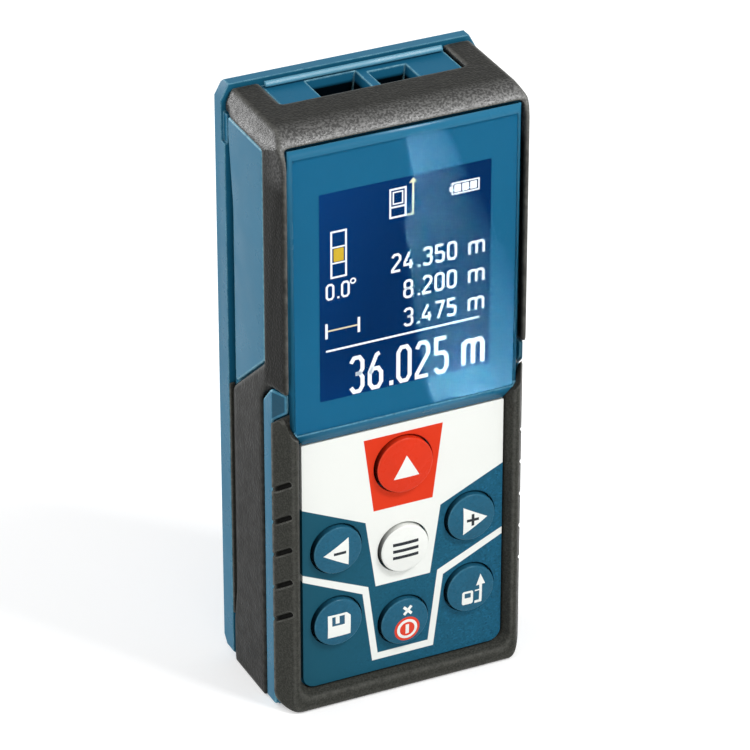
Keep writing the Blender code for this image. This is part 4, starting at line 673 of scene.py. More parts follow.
def rounded(corners: list[Point], radius: float | list[float], steps: int = 8) -> Array:
    """Closed outline with an arc at each corner.

    The arc's centre lies on the line that halves the corner, radius over the sine of the half angle away.

    Args:
        corners: Corner points in order.
        radius: Radius of every arc, or one radius for each.
        steps: Points on each arc.

    Returns:
        Array of points, two coordinates each.
    """
    points = np.array(corners, dtype=float)
    radius = np.broadcast_to(np.asarray(radius, dtype=float), len(points))
    before = np.roll(points, 1, axis=0) - points
    after = np.roll(points, -1, axis=0) - points
    before /= np.linalg.norm(before, axis=1, keepdims=True)
    after /= np.linalg.norm(after, axis=1, keepdims=True)
    half = np.arccos(np.clip((before * after).sum(axis=1), -1.0, 1.0)) / 2.0
    middle = before + after
    middle /= np.linalg.norm(middle, axis=1, keepdims=True)
    centre = points + middle * (radius / np.sin(half))[:, None]
    start = points + before * (radius / np.tan(half))[:, None] - centre
    end = points + after * (radius / np.tan(half))[:, None] - centre
    first = np.arctan2(start[:, 1], start[:, 0])
    sweep = np.arctan2(end[:, 1], end[:, 0]) - first
    sweep = (sweep + math.pi) % TURN - math.pi
    angle = first[:, None] + sweep[:, None] * np.linspace(0.0, 1.0, steps)
    arcs = centre[:, None, :] + radius[:, None, None] * np.stack((np.cos(angle), np.sin(angle)), axis=-1)
    return arcs.reshape(-1, 2)


def box_outline(
    left: float, right: float, low: float, high: float, radius: float, steps: int = 8
) -> Array:
    """Outline of a rectangle with round corners."""
    return rounded([(left, low), (right, low), (right, high), (left, high)], radius, steps)


def angles(steps: int) -> Array:
    """Even steps once round."""
    return np.linspace(0.0, TURN, steps, endpoint=False)


def circle(centre: Point, radius: float, steps: int) -> Array:
    """Outline of a circle, counted anticlockwise."""
    angle = angles(steps)
    return np.stack((centre[0] + radius * np.cos(angle), centre[1] + radius * np.sin(angle)), axis=-1)


def closed_path(outline: Array) -> list[Point]:
    """Outline as a path that ends where it starts."""
    return np.concatenate((outline, outline[:1])).tolist()


def eased(share: Array) -> Array:
    """Soft start and stop from 0 to 1: three squares less two cubes."""
    return share * share * (3.0 - 2.0 * share)


def mitres(path: Array, closed: bool) -> Array:
    """Sideways step at each point of a path for one unit of width.

    It is the mean of the neighbours' normals, made longer by the cosine of half the bend, up to twice.

    Args:
        path: Points of the path.
        closed: Whether the last point joins the first.

    Returns:
        One step for each point.
    """
    ahead = np.roll(path, -1, axis=0) - path
    if not closed:
        ahead[-1] = ahead[-2]
    ahead /= np.linalg.norm(ahead, axis=1, keepdims=True)
    behind = np.roll(ahead, 1, axis=0)
    if not closed:
        behind[0] = ahead[0]
    normal = np.stack((-ahead[:, 1], ahead[:, 0]), axis=-1)
    earlier = np.stack((-behind[:, 1], behind[:, 0]), axis=-1)
    mean = normal + earlier
    mean /= np.maximum(np.linalg.norm(mean, axis=1, keepdims=True), LEAST_LENGTH)
    return mean / np.maximum((mean * normal).sum(axis=1, keepdims=True), LEAST_COSINE)


def plate(
    outline: Array,
    face: float,
    back: float,
    rim: float = 0.0,
    facing: Facing = Facing.FRONT,
    steps: int = 5,
) -> Surface:
    """Flat plate with a rounded rim: the outline carried along a quarter circle from its side to its face.

    Args:
        outline: Closed outline of the plate.
        face: Depth of the face.
        back: Depth of the back.
        rim: Radius of the quarter circle.
        facing: Way that the plate looks.
        steps: Points on the quarter circle.

    Returns:
        The closed surface.
    """
    inward = mitres(outline, True)
    area = np.sum(outline[:, 0] * np.roll(outline[:, 1], -1) - outline[:, 1] * np.roll(outline[:, 0], -1))
    inward *= np.sign(area)
    turn = np.linspace(0.0, math.pi / 2.0, steps) if rim else np.zeros(1)
    inset = np.concatenate(([0.0], rim * (1.0 - np.cos(turn))))
    towards = math.copysign(1.0, back - face)
    depth = np.concatenate(([back], face + towards * rim * (1.0 - np.sin(turn))))
    loops = outline[None, :, :] + inward[None, :, :] * inset[:, None, None]
    surface = grid(laid(loops[..., 0], loops[..., 1], depth[:, None], facing))
    # Rim values peak halfway round the rounding, where a painted highlight goes.
    surface.rim = np.repeat(np.concatenate(([0.0], np.sin(2.0 * turn))), len(outline))
    return surface


def stroke(path: list[Point], width: float, face: float, back: float) -> Surface:
    """Flat line of one width: a rectangle carried along a path. A path that ends where it starts is closed.

    Args:
        path: Points of the line's middle.
        width: Width of the line.
        face: Y of its face.
        back: Y of its back.

    Returns:
        The closed surface.
    """
    points = np.array(path, dtype=float)
    closed = bool(np.allclose(points[0], points[-1]))
    points = points[:-1] if closed else points
    side = mitres(points, closed) * width / 2.0
    across = np.stack((points + side, points - side, points - side, points + side), axis=1)
    depth = np.array([face, face, back, back])
    ring = laid(across[..., 0], across[..., 1], depth[None, :], Facing.FRONT)
    return grid(ring, wrap_rows=closed)


def turned(profile: Array, centre: Point, steps: int = 96) -> Surface:
    """Turned shape: the profile's radius and depth carried round an axis that looks to the front.

    Args:
        profile: Rows of radius and depth. Ends at radius 0 close to a point.
        centre: Place of the axis on the front.
        steps: Points round the axis.

    Returns:
        The closed surface.
    """
    angle = angles(steps)
    radius, depth = profile[:, :1], profile[:, 1:]
    across = centre[0] + radius * np.cos(angle)
    up = centre[1] + radius * np.sin(angle)
    return grid(laid(across, up, depth, Facing.FRONT), caps=False)


def merge_corners(shape: Shape) -> None:
    """Merges equal corners and drops faces without area."""
    bmesh.ops.remove_doubles(shape, verts=shape.verts[:], dist=MERGE_DISTANCE)
    bmesh.ops.dissolve_degenerate(shape, edges=shape.edges[:], dist=MERGE_DISTANCE)


def add_piece(name: str, surface: Surface, smooth: float = SMOOTH_ANGLE) -> Piece:
    """Puts a surface into a new object at the origin, merged, facing outwards and smooth up to an angle.

    Args:
        name: Piece's name.
        surface: Points and faces.
        smooth: Sharpest bend in degrees that is shaded smooth.

    Returns:
        The object.
    """
    mesh = bpy.data.meshes.new(name)
    mesh.from_pydata((surface.points * MM).tolist(), [], surface.faces)
    mesh.attributes.new(RIM, "FLOAT", "POINT").data.foreach_set("value", np.ascontiguousarray(surface.rims()))
    shape = bmesh.new()
    shape.from_mesh(mesh)
    merge_corners(shape)
    bmesh.ops.recalc_face_normals(shape, faces=shape.faces[:])
    if shape.calc_volume(signed=True) < 0.0:
        bmesh.ops.reverse_faces(shape, faces=shape.faces[:])
    shape.to_mesh(mesh)
    shape.free()
    return add_mesh(name, mesh, smooth)


def add_mesh(name: str, mesh: bpy.types.Mesh, smooth: float = SMOOTH_ANGLE) -> Piece:
    """Links a mesh as a new object, shaded smooth up to an angle in degrees."""
    mesh.shade_smooth()
    mesh.set_sharp_from_angle(angle=math.radians(smooth))
    piece = bpy.data.objects.new(name, mesh)
    bpy.context.scene.collection.objects.link(piece)
    return piece


def join_flats(shape: Shape) -> None:
    """Merges equal corners, drops faces without area and joins faces in one plane to convex ones."""
    merge_corners(shape)
    limit = math.radians(FLAT_ANGLE)
    bmesh.ops.dissolve_limit(shape, angle_limit=limit, verts=shape.verts[:], edges=shape.edges[:])
    bmesh.ops.connect_verts_concave(shape, faces=shape.faces[:])


def shell_copy(node: str) -> Shape:
    """Editable mesh of a CAD node with its corners merged and its flat faces joined."""
    shape = bmesh.new()
    shape.from_mesh(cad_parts[node].data)
    join_flats(shape)
    return shape


def add_shell(name: str, shape: Shape, smooth: float = SMOOTH_ANGLE) -> Piece:
    """Links an editable mesh as a new object and frees it."""
    mesh = bpy.data.meshes.new(name)
    shape.to_mesh(mesh)
    shape.free()
    return add_mesh(name, mesh, smooth)


def corners_of(mesh: bpy.types.Mesh) -> Array:
    """Corners of a mesh, in its own unit."""
    flat = np.empty(len(mesh.vertices) * 3)
    mesh.vertices.foreach_get("co", flat)
    return flat.reshape(-1, 3)


def move_corners(mesh: bpy.types.Mesh, rule: Rule) -> None:
    """Moves all corners of a mesh by a rule that takes and gives millimetres."""
    mesh.vertices.foreach_set("co", (rule(corners_of(mesh) / MM) * MM).ravel())
    mesh.update()


def shaded(piece: Piece, rule: Callable[[Array, Array], Array]) -> Piece:
    """Changes a piece's rim values by a rule that takes its corners in millimetres and the old values."""
    rims = piece.data.attributes[RIM].data
    values = np.empty(len(rims))
    rims.foreach_get("value", values)
    rims.foreach_set("value", rule(corners_of(piece.data) / MM, values))
    return piece


def cut_across(shape: Shape, axis: Place, places: Numbers) -> None:
    """Cuts a mesh square to an axis at some places along it in millimetres, which only adds corners."""
    for place in places:
        everything = shape.verts[:] + shape.edges[:] + shape.faces[:]
        point = [part * place * MM for part in axis]
        bmesh.ops.bisect_plane(shape, geom=everything, plane_co=point, plane_no=axis)


def bent(piece: Piece, depths: Numbers, rule: Rule) -> Piece:
    """Cuts a piece across at some depths, then moves its corners by a rule.

    Args:
        piece: Object to bend.
        depths: Y of the cuts, which only add corners.
        rule: Gives the moved corners from the corners, all in millimetres.

    Returns:
        The same object.
    """
    shape = bmesh.new()
    shape.from_mesh(piece.data)
    cut_across(shape, (0.0, 1.0, 0.0), depths)
    shape.to_mesh(piece.data)
    shape.free()
    move_corners(piece.data, rule)
    piece.data.set_sharp_from_angle(angle=math.radians(BENT_ANGLE))
    return piece


def reshaped(name: str, node: str, cuts: Numbers, rule: Rule) -> Piece:
    """Copy of a CAD node cut at some heights, with its corners then moved by a rule.

    Args:
        name: New piece's name.
        node: CAD node.
        cuts: Heights of the cuts, which only add corners.
        rule: Gives the moved corners from the corners, all in millimetres.

    Returns:
        The new object.
    """
    shape = shell_copy(node)
    cut_across(shape, (0.0, 0.0, 1.0), cuts)
    mesh = bpy.data.meshes.new(name)
    shape.to_mesh(mesh)
    move_corners(mesh, rule)
    shape.clear()
    shape.from_mesh(mesh)
    bpy.data.meshes.remove(mesh)
    join_flats(shape)
    bmesh.ops.recalc_face_normals(shape, faces=shape.faces[:])
    return add_shell(name, shape)


def copied(name: str, node: str, width: float) -> Piece:
    """Copy of a CAD node with its edges rounded to a width in millimetres."""
    return round_edges(add_shell(name, shell_copy(node)), width)


def round_edges(piece: Piece, width: float, least: float = 30.0, segments: int = 3) -> Piece:
    """Rounds the edges that bend more than an angle.

    Args:
        piece: Object to round.
        width: Width of the rounding in millimetres.
        least: Least bend in degrees.
        segments: Strips across the rounding.

    Returns:
        The same object.
    """
    bevel = piece.modifiers.new("round_edges", "BEVEL")
    bevel.width = width * MM
    bevel.segments = segments
    bevel.limit_method = "ANGLE"
    bevel.angle_limit = math.radians(least)
    bevel.harden_normals = True
    bevel.use_clamp_overlap = True
    return piece


def moulded(piece: Piece, grain: float, rounds: int) -> Piece:
    """Rounds every edge as soft moulding does: an even skin of small faces, evened out again and again.

    Args:
        piece: Closed object to round.
        grain: Size of the small faces in millimetres.
        rounds: How often the skin is evened out.

    Returns:
        The same object.
    """
    skin = piece.modifiers.new("skin", "REMESH")
    skin.mode = "VOXEL"
    skin.voxel_size = grain * MM
    skin.use_smooth_shade = True
    evened = piece.modifiers.new("evened", "SMOOTH")
    evened.factor = EVENING
    evened.iterations = rounds
    return piece


def thicken(piece: Piece, thickness: float) -> Piece:
    """Gives an open sheet a wall behind it, of a thickness in millimetres."""
    wall = piece.modifiers.new("wall", "SOLIDIFY")
    wall.thickness = thickness * MM
    wall.offset = -1.0
    wall.use_even_offset = True
    return piece


def holed_plate(name: str, loops: list[Array], face: float, back: float) -> Piece:
    """Flat plate with holes: outlines filled on a flat curve, given their thickness and turned to the front.

    Args:
        name: Piece's name.
        loops: Outer outline, then the holes.
        face: Y of the face.
        back: Y of the back.

    Returns:
        The object, at the origin.
    """
    curve = bpy.data.curves.new(name, "CURVE")
    curve.dimensions = "2D"
    curve.fill_mode = "BOTH"
    curve.extrude = (back - face) / 2.0
    for loop in loops:
        spline = curve.splines.new("POLY")
        spline.points.add(len(loop) - 1)
        flat = np.zeros((len(loop), 4))
        flat[:, :2] = loop
        flat[:, 3] = 1.0
        spline.points.foreach_set("co", flat.ravel())
        spline.use_cyclic_u = True
    drawn = bpy.data.objects.new(name, curve)
    bpy.context.scene.collection.objects.link(drawn)
    mesh = bpy.data.meshes.new_from_object(drawn.evaluated_get(bpy.context.evaluated_depsgraph_get()))
    bpy.data.objects.remove(drawn)
    bpy.data.curves.remove(curve)
    flat = corners_of(mesh)
    points = laid(flat[:, 0], flat[:, 1], (face + back) / 2.0 - flat[:, 2], Facing.FRONT)
    faces = [tuple(polygon.vertices) for polygon in mesh.polygons]
    bpy.data.meshes.remove(mesh)
    return add_piece(name, Surface(points, faces))


def dress(piece: Piece, finish: Finish | Pane, body: str, slot: str, *nodes: str) -> Piece:
    """Gives a piece its finish and its body, and hides the CAD nodes that it stands for.

    Args:
        piece: Finished object.
        finish: Its surface.
        body: CAD body that it moves with.
        slot: Material slot; not used.
        nodes: CAD nodes that it replaces.

    Returns:
        The same object.
    """
    piece.data.materials.clear()
    piece.data.materials.append(material(finish))
    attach(piece, body)
    if nodes:
        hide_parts(*nodes)
    return piece


@dataclass
class CaseShells:
    """Blue front and back shells, with raised side panels, ribs and hooks set on the front one."""

    front_edge: float = 0.12
    rear_edge: float = 0.15
    floor: float = 21.5
    face: float = 22.2
    foot: float = 20.75
    rim: float = 0.42
    panel: Points = (
        (-5.6, 64.1), (-5.6, 101.4), (7.6, 101.4), (7.6, 98.0), (6.1, 86.0), (6.1, 54.3),
    )
    panel_corners: Numbers = (0.8, 0.5, 0.5, 3.0, 3.0, 0.5)
    rib: Points = (
        (-4.7, 0.3), (-4.7, 56.8), (-7.6, 60.0), (-11.2, 60.2), (-11.2, 57.0), (-8.1, 54.4), (-8.1, 0.3),
    )
    rib_corners: Numbers = (0.5, 1.0, 1.2, 0.5, 0.5, 0.3, 0.5)
    bevel_start: float = -8.0
    bevel_slope: float = 0.36
    bevel_width: float = 0.25
    # Painted shade on the hooks' bevelled flat, and the share of the painted highlight left on its rim.
    bevel_shade: float = 0.55
    bevel_highlight: float = 0.3
    bevel_middle: float = 0.5
    flat_rim: float = 0.2
    corner_steps: int = 10
    rim_steps: int = 8
    hook_front: float = -11.0
    hook_inner: float = 20.4
    bed: float = 0.1

    def fall(self, depth: Array) -> Array:
        """How far the plates' face has fallen at a depth: straight from the bevel's start to the front."""
        return self.bevel_slope * np.maximum(self.bevel_start - depth, 0.0)

    def flush(self, points: Array) -> Array:
        """Takes the shell's sides back to the floor, and its hooks back under the plates."""
        x, y, z = points.T
        y = np.where(np.abs(x) > self.hook_inner, np.maximum(y, self.hook_front), y)
        reach = np.minimum(self.floor, self.face - self.bed - self.fall(y))
        return np.stack((np.clip(x, -reach, reach), y, z), axis=-1)

    def slant(self, points: Array) -> Array:
        """Scales the distance from the foot by the face's height at that depth over its full height."""
        x, y, z = points.T
        height = self.face - self.foot
        reach = self.foot + (np.abs(x) - self.foot) * (1.0 - self.fall(y) / height)
        return np.stack((np.sign(x) * reach, y, z), axis=-1)

    def shade(self, points: Array, rims: Array) -> Array:
        """Rim values with painted shade on the flat of the bevel and a weaker painted highlight on its
        rounded edge.
        """
        beyond = points[:, 1] < self.bevel_start - self.bevel_width * self.bevel_middle
        shaded_rims = np.where(rims < self.flat_rim, -self.bevel_shade, rims * self.bevel_highlight)
        return np.where(beyond, shaded_rims, rims)

    def raised(self, name: str, corners: Points, radii: Numbers) -> list[Piece]:
        """A raised plate on either side, whose face falls towards the front from the bevel's start.

        Args:
            name: First word of the two names.
            corners: Outline, as depth and height.
            radii: Radius of each corner.

        Returns:
            The left and the right plate.
        """
        outline = rounded(list(corners), list(radii), self.corner_steps)
        surface = plate(outline, self.face, self.foot, self.rim, Facing.SIDE, self.rim_steps)
        plates = (add_piece(f"{name}_left", surface.mirrored()), add_piece(f"{name}_right", surface))
        cuts = (self.bevel_start, self.bevel_start - self.bevel_width)
        return [shaded(bent(piece, cuts, self.slant), self.shade) for piece in plates]

    def build(self) -> list[Piece]:
        """Builds and dresses both shells, the panels and the ribs."""
        front = round_edges(reshaped("front_shell", "front_case", (), self.flush), self.front_edge)
        rear = copied("rear_shell", "rear_case", self.rear_edge)
        pieces = [
            dress(front, BLUE_SHELL, "housing", "blue_plastic", "front_case"),
            dress(rear, BLUE_SHELL, "housing", "blue_plastic", "rear_case"),
        ]
        plates = self.raised("side_panel", self.panel, self.panel_corners)
        plates += self.raised("side_rib", self.rib, self.rib_corners)
        return pieces + [dress(piece, BLUE_SHELL, "housing", "blue_plastic") for piece in plates]


@dataclass
class RubberArmour:
    """Black rubber arch with its grips, whose valley closes at the foot, and the frame round the keypad.

    The frame is one closed section carried along the outline: each point lies between the outer and the inner
    outline by its inset, at its own depth, and the grip grooves press the outer facet in.
    """

    arch_grain: float = 0.27
    arch_rounds: int = 20
    lining: Sides = (21.45, 22.4, 9.0, 53.1)
    lining_face: float = 7.97
    lining_back: float = 8.17
    lining_corner: float = 0.3
    lining_rim: float = 0.08
    skin: float = 21.35
    grip_top: float = 70.0
    ridge: float = 5.9
    valley_full: float = 18.0
    valley_end: float = 8.0
    closed_ridge: float = 7.7
    bevel_start: float = -8.0
    facet_start: float = -6.3
    spare: float = 0.01
    near: float = 0.1
    bevel_near: float = 0.2
    half: float = 22.5
    corner: float = 3.4
    inner_half: float = 18.4
    inner_low: float = 3.3
    inner_corner: float = 2.5
    width: float = 4.1
    front: float = -12.0
    back: float = -8.4
    core: float = -9.4
    wall: float = 1.2
    facet: float = 2.2
    low_facet: float = 0.35
    low_start: float = -11.5
    start_step: float = 0.02
    flat: float = 3.15
    well: float = -10.2
    tip_top: float = 54.2
    tip_slope: float = 0.889
    tip_width: float = 1.9
    notch_top: float = 53.0
    notch_slope: float = 0.94
    groove_count: int = 5
    groove_first: float = 18.5
    groove_pitch: float = 6.15
    groove_slope: float = 0.625
    groove_half: float = 0.56
    groove_wall: float = 0.34
    groove_depth: float = 0.75
    groove_start: float = 0.35
    groove_end: float = 3.3
    groove_mouth: float = 0.35
    groove_deepens: float = 0.6
    groove_fades: float = 0.4
    steps: tuple[int, ...] = (3, 6, 6, 42, 10, 14, 3)
    # Painted highlight on the section's corners, and painted shade in the grooves.
    lit: Numbers = (0.0, 0.0, 0.5, 0.5, 0.20, 0.30, 0.0, 0.0)
    painted_shade: float = 0.96
    painted_shade_gain: float = 2.0
    painted_shade_start: float = 0.5
    lit_width: float = 0.28
    smooth: int = 7
    smooth_angle: float = 50.0
    rows: tuple[tuple[float, int], ...] = ((15.0, 24), (50.0, 330), (57.5, 60))
    arc_rows: int = 28
    floor_rows: int = 40

    def press(self, points: Array) -> Array:
        """Corners of the arch with the grips' valley closed at its foot and the legs' bevel longer."""
        x, y, z = points.T.copy()
        side, reach = np.sign(x), np.minimum(np.abs(x), self.half - self.spare)
        grip = (reach > self.skin) & (z < self.grip_top)
        low = z < (self.valley_end + self.valley_full) / 2.0
        y = np.where(grip & low & (np.abs(y - self.ridge) < self.near), self.closed_ridge, y)
        bevel = (reach > self.half - self.near) & (np.abs(y - self.bevel_start) < self.bevel_near)
        y = np.where(bevel, self.facet_start, y)
        return np.stack((side * reach, y, z), axis=-1)

    def outline(self, half: float, low: float, corner: float) -> Array:
        """Front view of the frame, from the foot of its left side round the floor to that of its right side.

        Args:
            half: Half of the width.
            low: Height of the floor line.
            corner: Radius of both lower corners.

        Returns:
            Points, row by row the same in number for every outline.
        """
        turn = np.linspace(0.0, math.pi / 2.0, self.arc_rows)
        arc = np.stack((corner - half - corner * np.cos(turn), low + corner - corner * np.sin(turn)), axis=-1)
        share = np.linspace(0.0, 1.0, self.floor_rows + 2)[1:-1, None]
        floor = arc[-1] * (1.0 - share) + arc[-1] * (-1.0, 1.0) * share
        return np.concatenate((arc, floor, (arc * (-1.0, 1.0))[::-1]))

    def section(self, upright: Array) -> Array:
        """Inset and depth of the section's points, for rows that stand upright (1) or lie on the floor (0).

        The corners are joined by straight lines, cut into equal steps, and a running mean rounds them.

        Args:
            upright: One value for each row.

        Returns:
            Array of rows, section points and two coordinates.
        """
        start = self.back * upright + self.low_start * (1.0 - upright)
        facet = self.facet * upright + self.low_facet * (1.0 - upright)
        pairs = (
            (self.wall, self.core), (self.wall, self.back), (0.0, self.back), (0.0, start - self.start_step),
            (facet, self.front), (self.flat, self.front), (self.width, self.well), (self.width, self.core),
        )
        level = np.ones_like(upright)
        corners = [np.stack((inset * level, depth * level), axis=-1) for inset, depth in pairs]
        corners = np.stack(corners, axis=1)
        place = self.places()
        before = np.minimum(place.astype(int), corners.shape[1] - 2)
        share = (place - before)[None, :, None]
        points = corners[:, before] * (1.0 - share) + corners[:, before + 1] * share
        reach = self.smooth // 2
        first, last = points[:, :1].repeat(reach, 1), points[:, -1:].repeat(reach, 1)
        padded = np.concatenate((first, points, last), axis=1)
        return np.stack([padded[:, shift:shift + len(place)] for shift in range(self.smooth)]).mean(axis=0)

    def places(self) -> Array:
        """Where the section's points lie, counted in corners: some steps from each corner to the next."""
        spans = [
            np.linspace(corner, corner + 1.0, count, endpoint=False)
            for corner, count in enumerate(self.steps)
        ]
        return np.concatenate((*spans, [float(len(self.steps))]))

    def grooves(self, inset: Array, depth: Array, height: Array) -> Array:
        """How far the grooves press the facet in: rounded trenches about slanted lines with round inner ends.

        Args:
            inset: Inset of each point.
            depth: Y of each point.
            height: Z of each point.

        Returns:
            The extra inset of each point.
        """
        slant = math.hypot(self.facet, self.back - self.front)
        along = (inset * self.facet + (self.back - depth) * (self.back - self.front)) / slant
        lean = math.hypot(1.0, self.groove_slope)
        pressed = np.zeros_like(height)
        for row in range(self.groove_count):
            rise = height - (self.groove_first + row * self.groove_pitch)
            across = (rise - self.groove_slope * (along - slant / 2.0)) / lean
            run = along + self.groove_slope * across / lean
            beyond = np.maximum(run - self.groove_end, 0.0) + np.maximum(self.groove_start - run, 0.0)
            near = np.clip((self.groove_half - np.hypot(across, beyond)) / self.groove_wall, 0.0, 1.0)
            pressed = np.maximum(pressed, eased(near))
        pressed = pressed * np.clip(self.groove_mouth + inset / self.groove_deepens, 0.0, 1.0)
        pressed = pressed * np.clip((self.flat - inset) / self.groove_fades, 0.0, 1.0)
        return np.where(depth < self.back + self.spare, self.groove_depth * pressed, 0.0)

    def ring(self) -> Surface:
        """The frame's surface."""
        outer = self.outline(self.half, 0.0, self.corner)
        inner = self.outline(self.inner_half, self.inner_low, self.inner_corner)
        turn = np.linspace(1.0, 0.0, self.arc_rows)
        upright = eased(np.concatenate((turn, np.zeros(self.floor_rows), turn[::-1])))
        levels, low = [], self.corner + self.inner_low
        for high, count in self.rows:
            levels.append(np.linspace(low, high, count, endpoint=False))
            low = high
        side = np.concatenate((*levels, [low]))[::-1]
        count = len(side)
        section = self.section(np.concatenate((np.ones(count), upright, np.ones(count))))
        inset, depth = section[..., 0], section[..., 1]
        part = inset / self.width
        ends = np.concatenate((outer[:1].repeat(count, 0), outer, outer[-1:].repeat(count, 0)))
        starts = np.concatenate((inner[:1].repeat(count, 0), inner, inner[-1:].repeat(count, 0)))
        top = np.where(
            inset < self.tip_width,
            self.tip_top + self.tip_slope * (self.back - depth),
            self.notch_top - self.notch_slope * (inset - self.tip_width),
        )
        foot = ends[:, None, 1] * (1.0 - part) + starts[:, None, 1] * part
        climbing = np.concatenate((side, np.zeros(len(upright)), side[::-1]))[:, None]
        height = np.where(climbing > 0.0, np.minimum(climbing, top), foot)
        pressed = self.grooves(inset, depth, height)
        part = part + pressed / self.width
        across = ends[:, None, 0] * (1.0 - part) + starts[:, None, 0] * part
        surface = grid(np.stack((across, depth, height), axis=-1))
        # Groove floors get painted shade; the section's corners get a painted highlight.
        painted_shades = self.painted_shade * np.clip(self.painted_shade_gain * pressed / self.groove_depth - self.painted_shade_start, 0.0, 1.0)
        surface.rim = np.where(painted_shades > 0.0, -painted_shades, self.lights(section[0])).ravel()
        return surface

    def lights(self, section: Array) -> Array:
        """Rim value of each section point: a bell about each corner, as high as that corner's painted
        highlight.
        """
        corner = np.searchsorted(self.places(), np.arange(len(self.lit)))
        away = np.linalg.norm(section[:, None, :] - section[None, corner, :], axis=-1)
        return (np.array(self.lit) * np.exp(-((away / self.lit_width) ** 2))).max(axis=1)

    def build(self) -> list[Piece]:
        """Builds and dresses both rubber pieces."""
        cuts = (self.valley_end, self.valley_full)
        pressed = reshaped("rubber_arch", "upper_bumper", cuts, self.press)
        arch = moulded(pressed, self.arch_grain, self.arch_rounds)
        ring = add_piece("rubber_frame", self.ring(), self.smooth_angle)
        outline = box_outline(*self.lining, self.lining_corner)
        lining = plate(outline, self.lining_face, self.lining_back, self.lining_rim)
        linings = (
            add_piece("grip_lining_left", lining.mirrored()), add_piece("grip_lining_right", lining),
        )
        return [dress(piece, FRAME_RUBBER, "housing", "black_rubber") for piece in linings] + [
            dress(arch, BLACK_RUBBER, "housing", "black_rubber", "upper_bumper"),
            dress(ring, FRAME_RUBBER, "housing", "black_rubber", "lower_bumper"),
        ]


GLYPHS: dict[str, tuple[Points, ...]] = {
    "0": (
        ((0.26, 0), (0.74, 0), (1, 0.14), (1, 0.86), (0.74, 1), (0.26, 1), (0, 0.86), (0, 0.14), (0.26, 0)),
    ),
    "2": (((0, 0.84), (0.26, 1), (0.74, 1), (1, 0.86), (1, 0.66), (0, 0.1), (0, 0), (1, 0)),),
    "3": (
        ((0, 0.86), (0.26, 1), (0.74, 1), (1, 0.87), (1, 0.64), (0.76, 0.52), (0.4, 0.52)),
        ((0.45, 0.52), (0.76, 0.52), (1, 0.39), (1, 0.14), (0.74, 0), (0.26, 0), (0, 0.14)),
    ),
    "4": (((0.62, 1), (0, 0.42), (0, 0.26), (1.08, 0.26)), ((0.78, 0.52), (0.78, 0))),
    "5": (
        (
            (0.95, 1), (0.06, 1), (0.06, 0.57), (0.74, 0.57), (1, 0.44), (1, 0.14), (0.74, 0), (0.26, 0),
            (0, 0.13),
        ),
    ),
    "6": (
        (
            (0.86, 1), (0.6, 0.96), (0, 0.48), (0, 0.14), (0.26, 0), (0.74, 0),
            (1, 0.14), (1, 0.42), (0.74, 0.56), (0.3, 0.56), (0.02, 0.44),
        ),
    ),
    "7": (((0, 1), (1, 1), (1, 0.9), (0.36, 0)),),
    "8": (
        (
            (0.27, 0), (0.73, 0), (1, 0.13), (1, 0.4), (0.73, 0.53), (0.27, 0.53), (0, 0.4), (0, 0.13),
            (0.27, 0),
        ),
        (
            (0.3, 0.53), (0.7, 0.53), (0.96, 0.64), (0.96, 0.88), (0.7, 1), (0.3, 1), (0.04, 0.88),
            (0.04, 0.64), (0.3, 0.53),
        ),
    ),
    ".": (((0.5, -0.05), (0.5, 0.085)),),
    "m": (
        ((0, 0), (0, 1)),
        ((0, 0.78), (0.14, 1), (0.4, 1), (0.5, 0.86), (0.5, 0)),
        ((0.5, 0.78), (0.64, 1), (0.88, 1), (1, 0.84), (1, 0)),
    ),
}


@dataclass
class Lettering:
    """One line of figures: where it stands, how big and how bold."""

    text: str
    left: float
    foot: float
    width: float
    height: float
    pitch: float
    weight: float
    dot_pitch: float = 0.0

    def strokes(self, face: float, back: float) -> list[Surface]:
        """Strokes of every figure, scaled from its unit square and stepped along by the pitch.

        Args:
            face: Y of the strokes' face.
            back: Y of their back.

        Returns:
            The strokes.
        """
        half = self.weight / 2.0
        left, result = self.left, []
        for figure in self.text:
            dot = figure == "."
            width = self.dot_pitch if dot else self.width
            scale = np.array([width - self.weight, self.height - self.weight])
            for path in GLYPHS[figure]:
                points = np.array(path, dtype=float) * scale + (left + half, self.foot + half)
                result.append(stroke(points.tolist(), self.weight, face, back))
            left += self.dot_pitch if dot else self.pitch
        return result


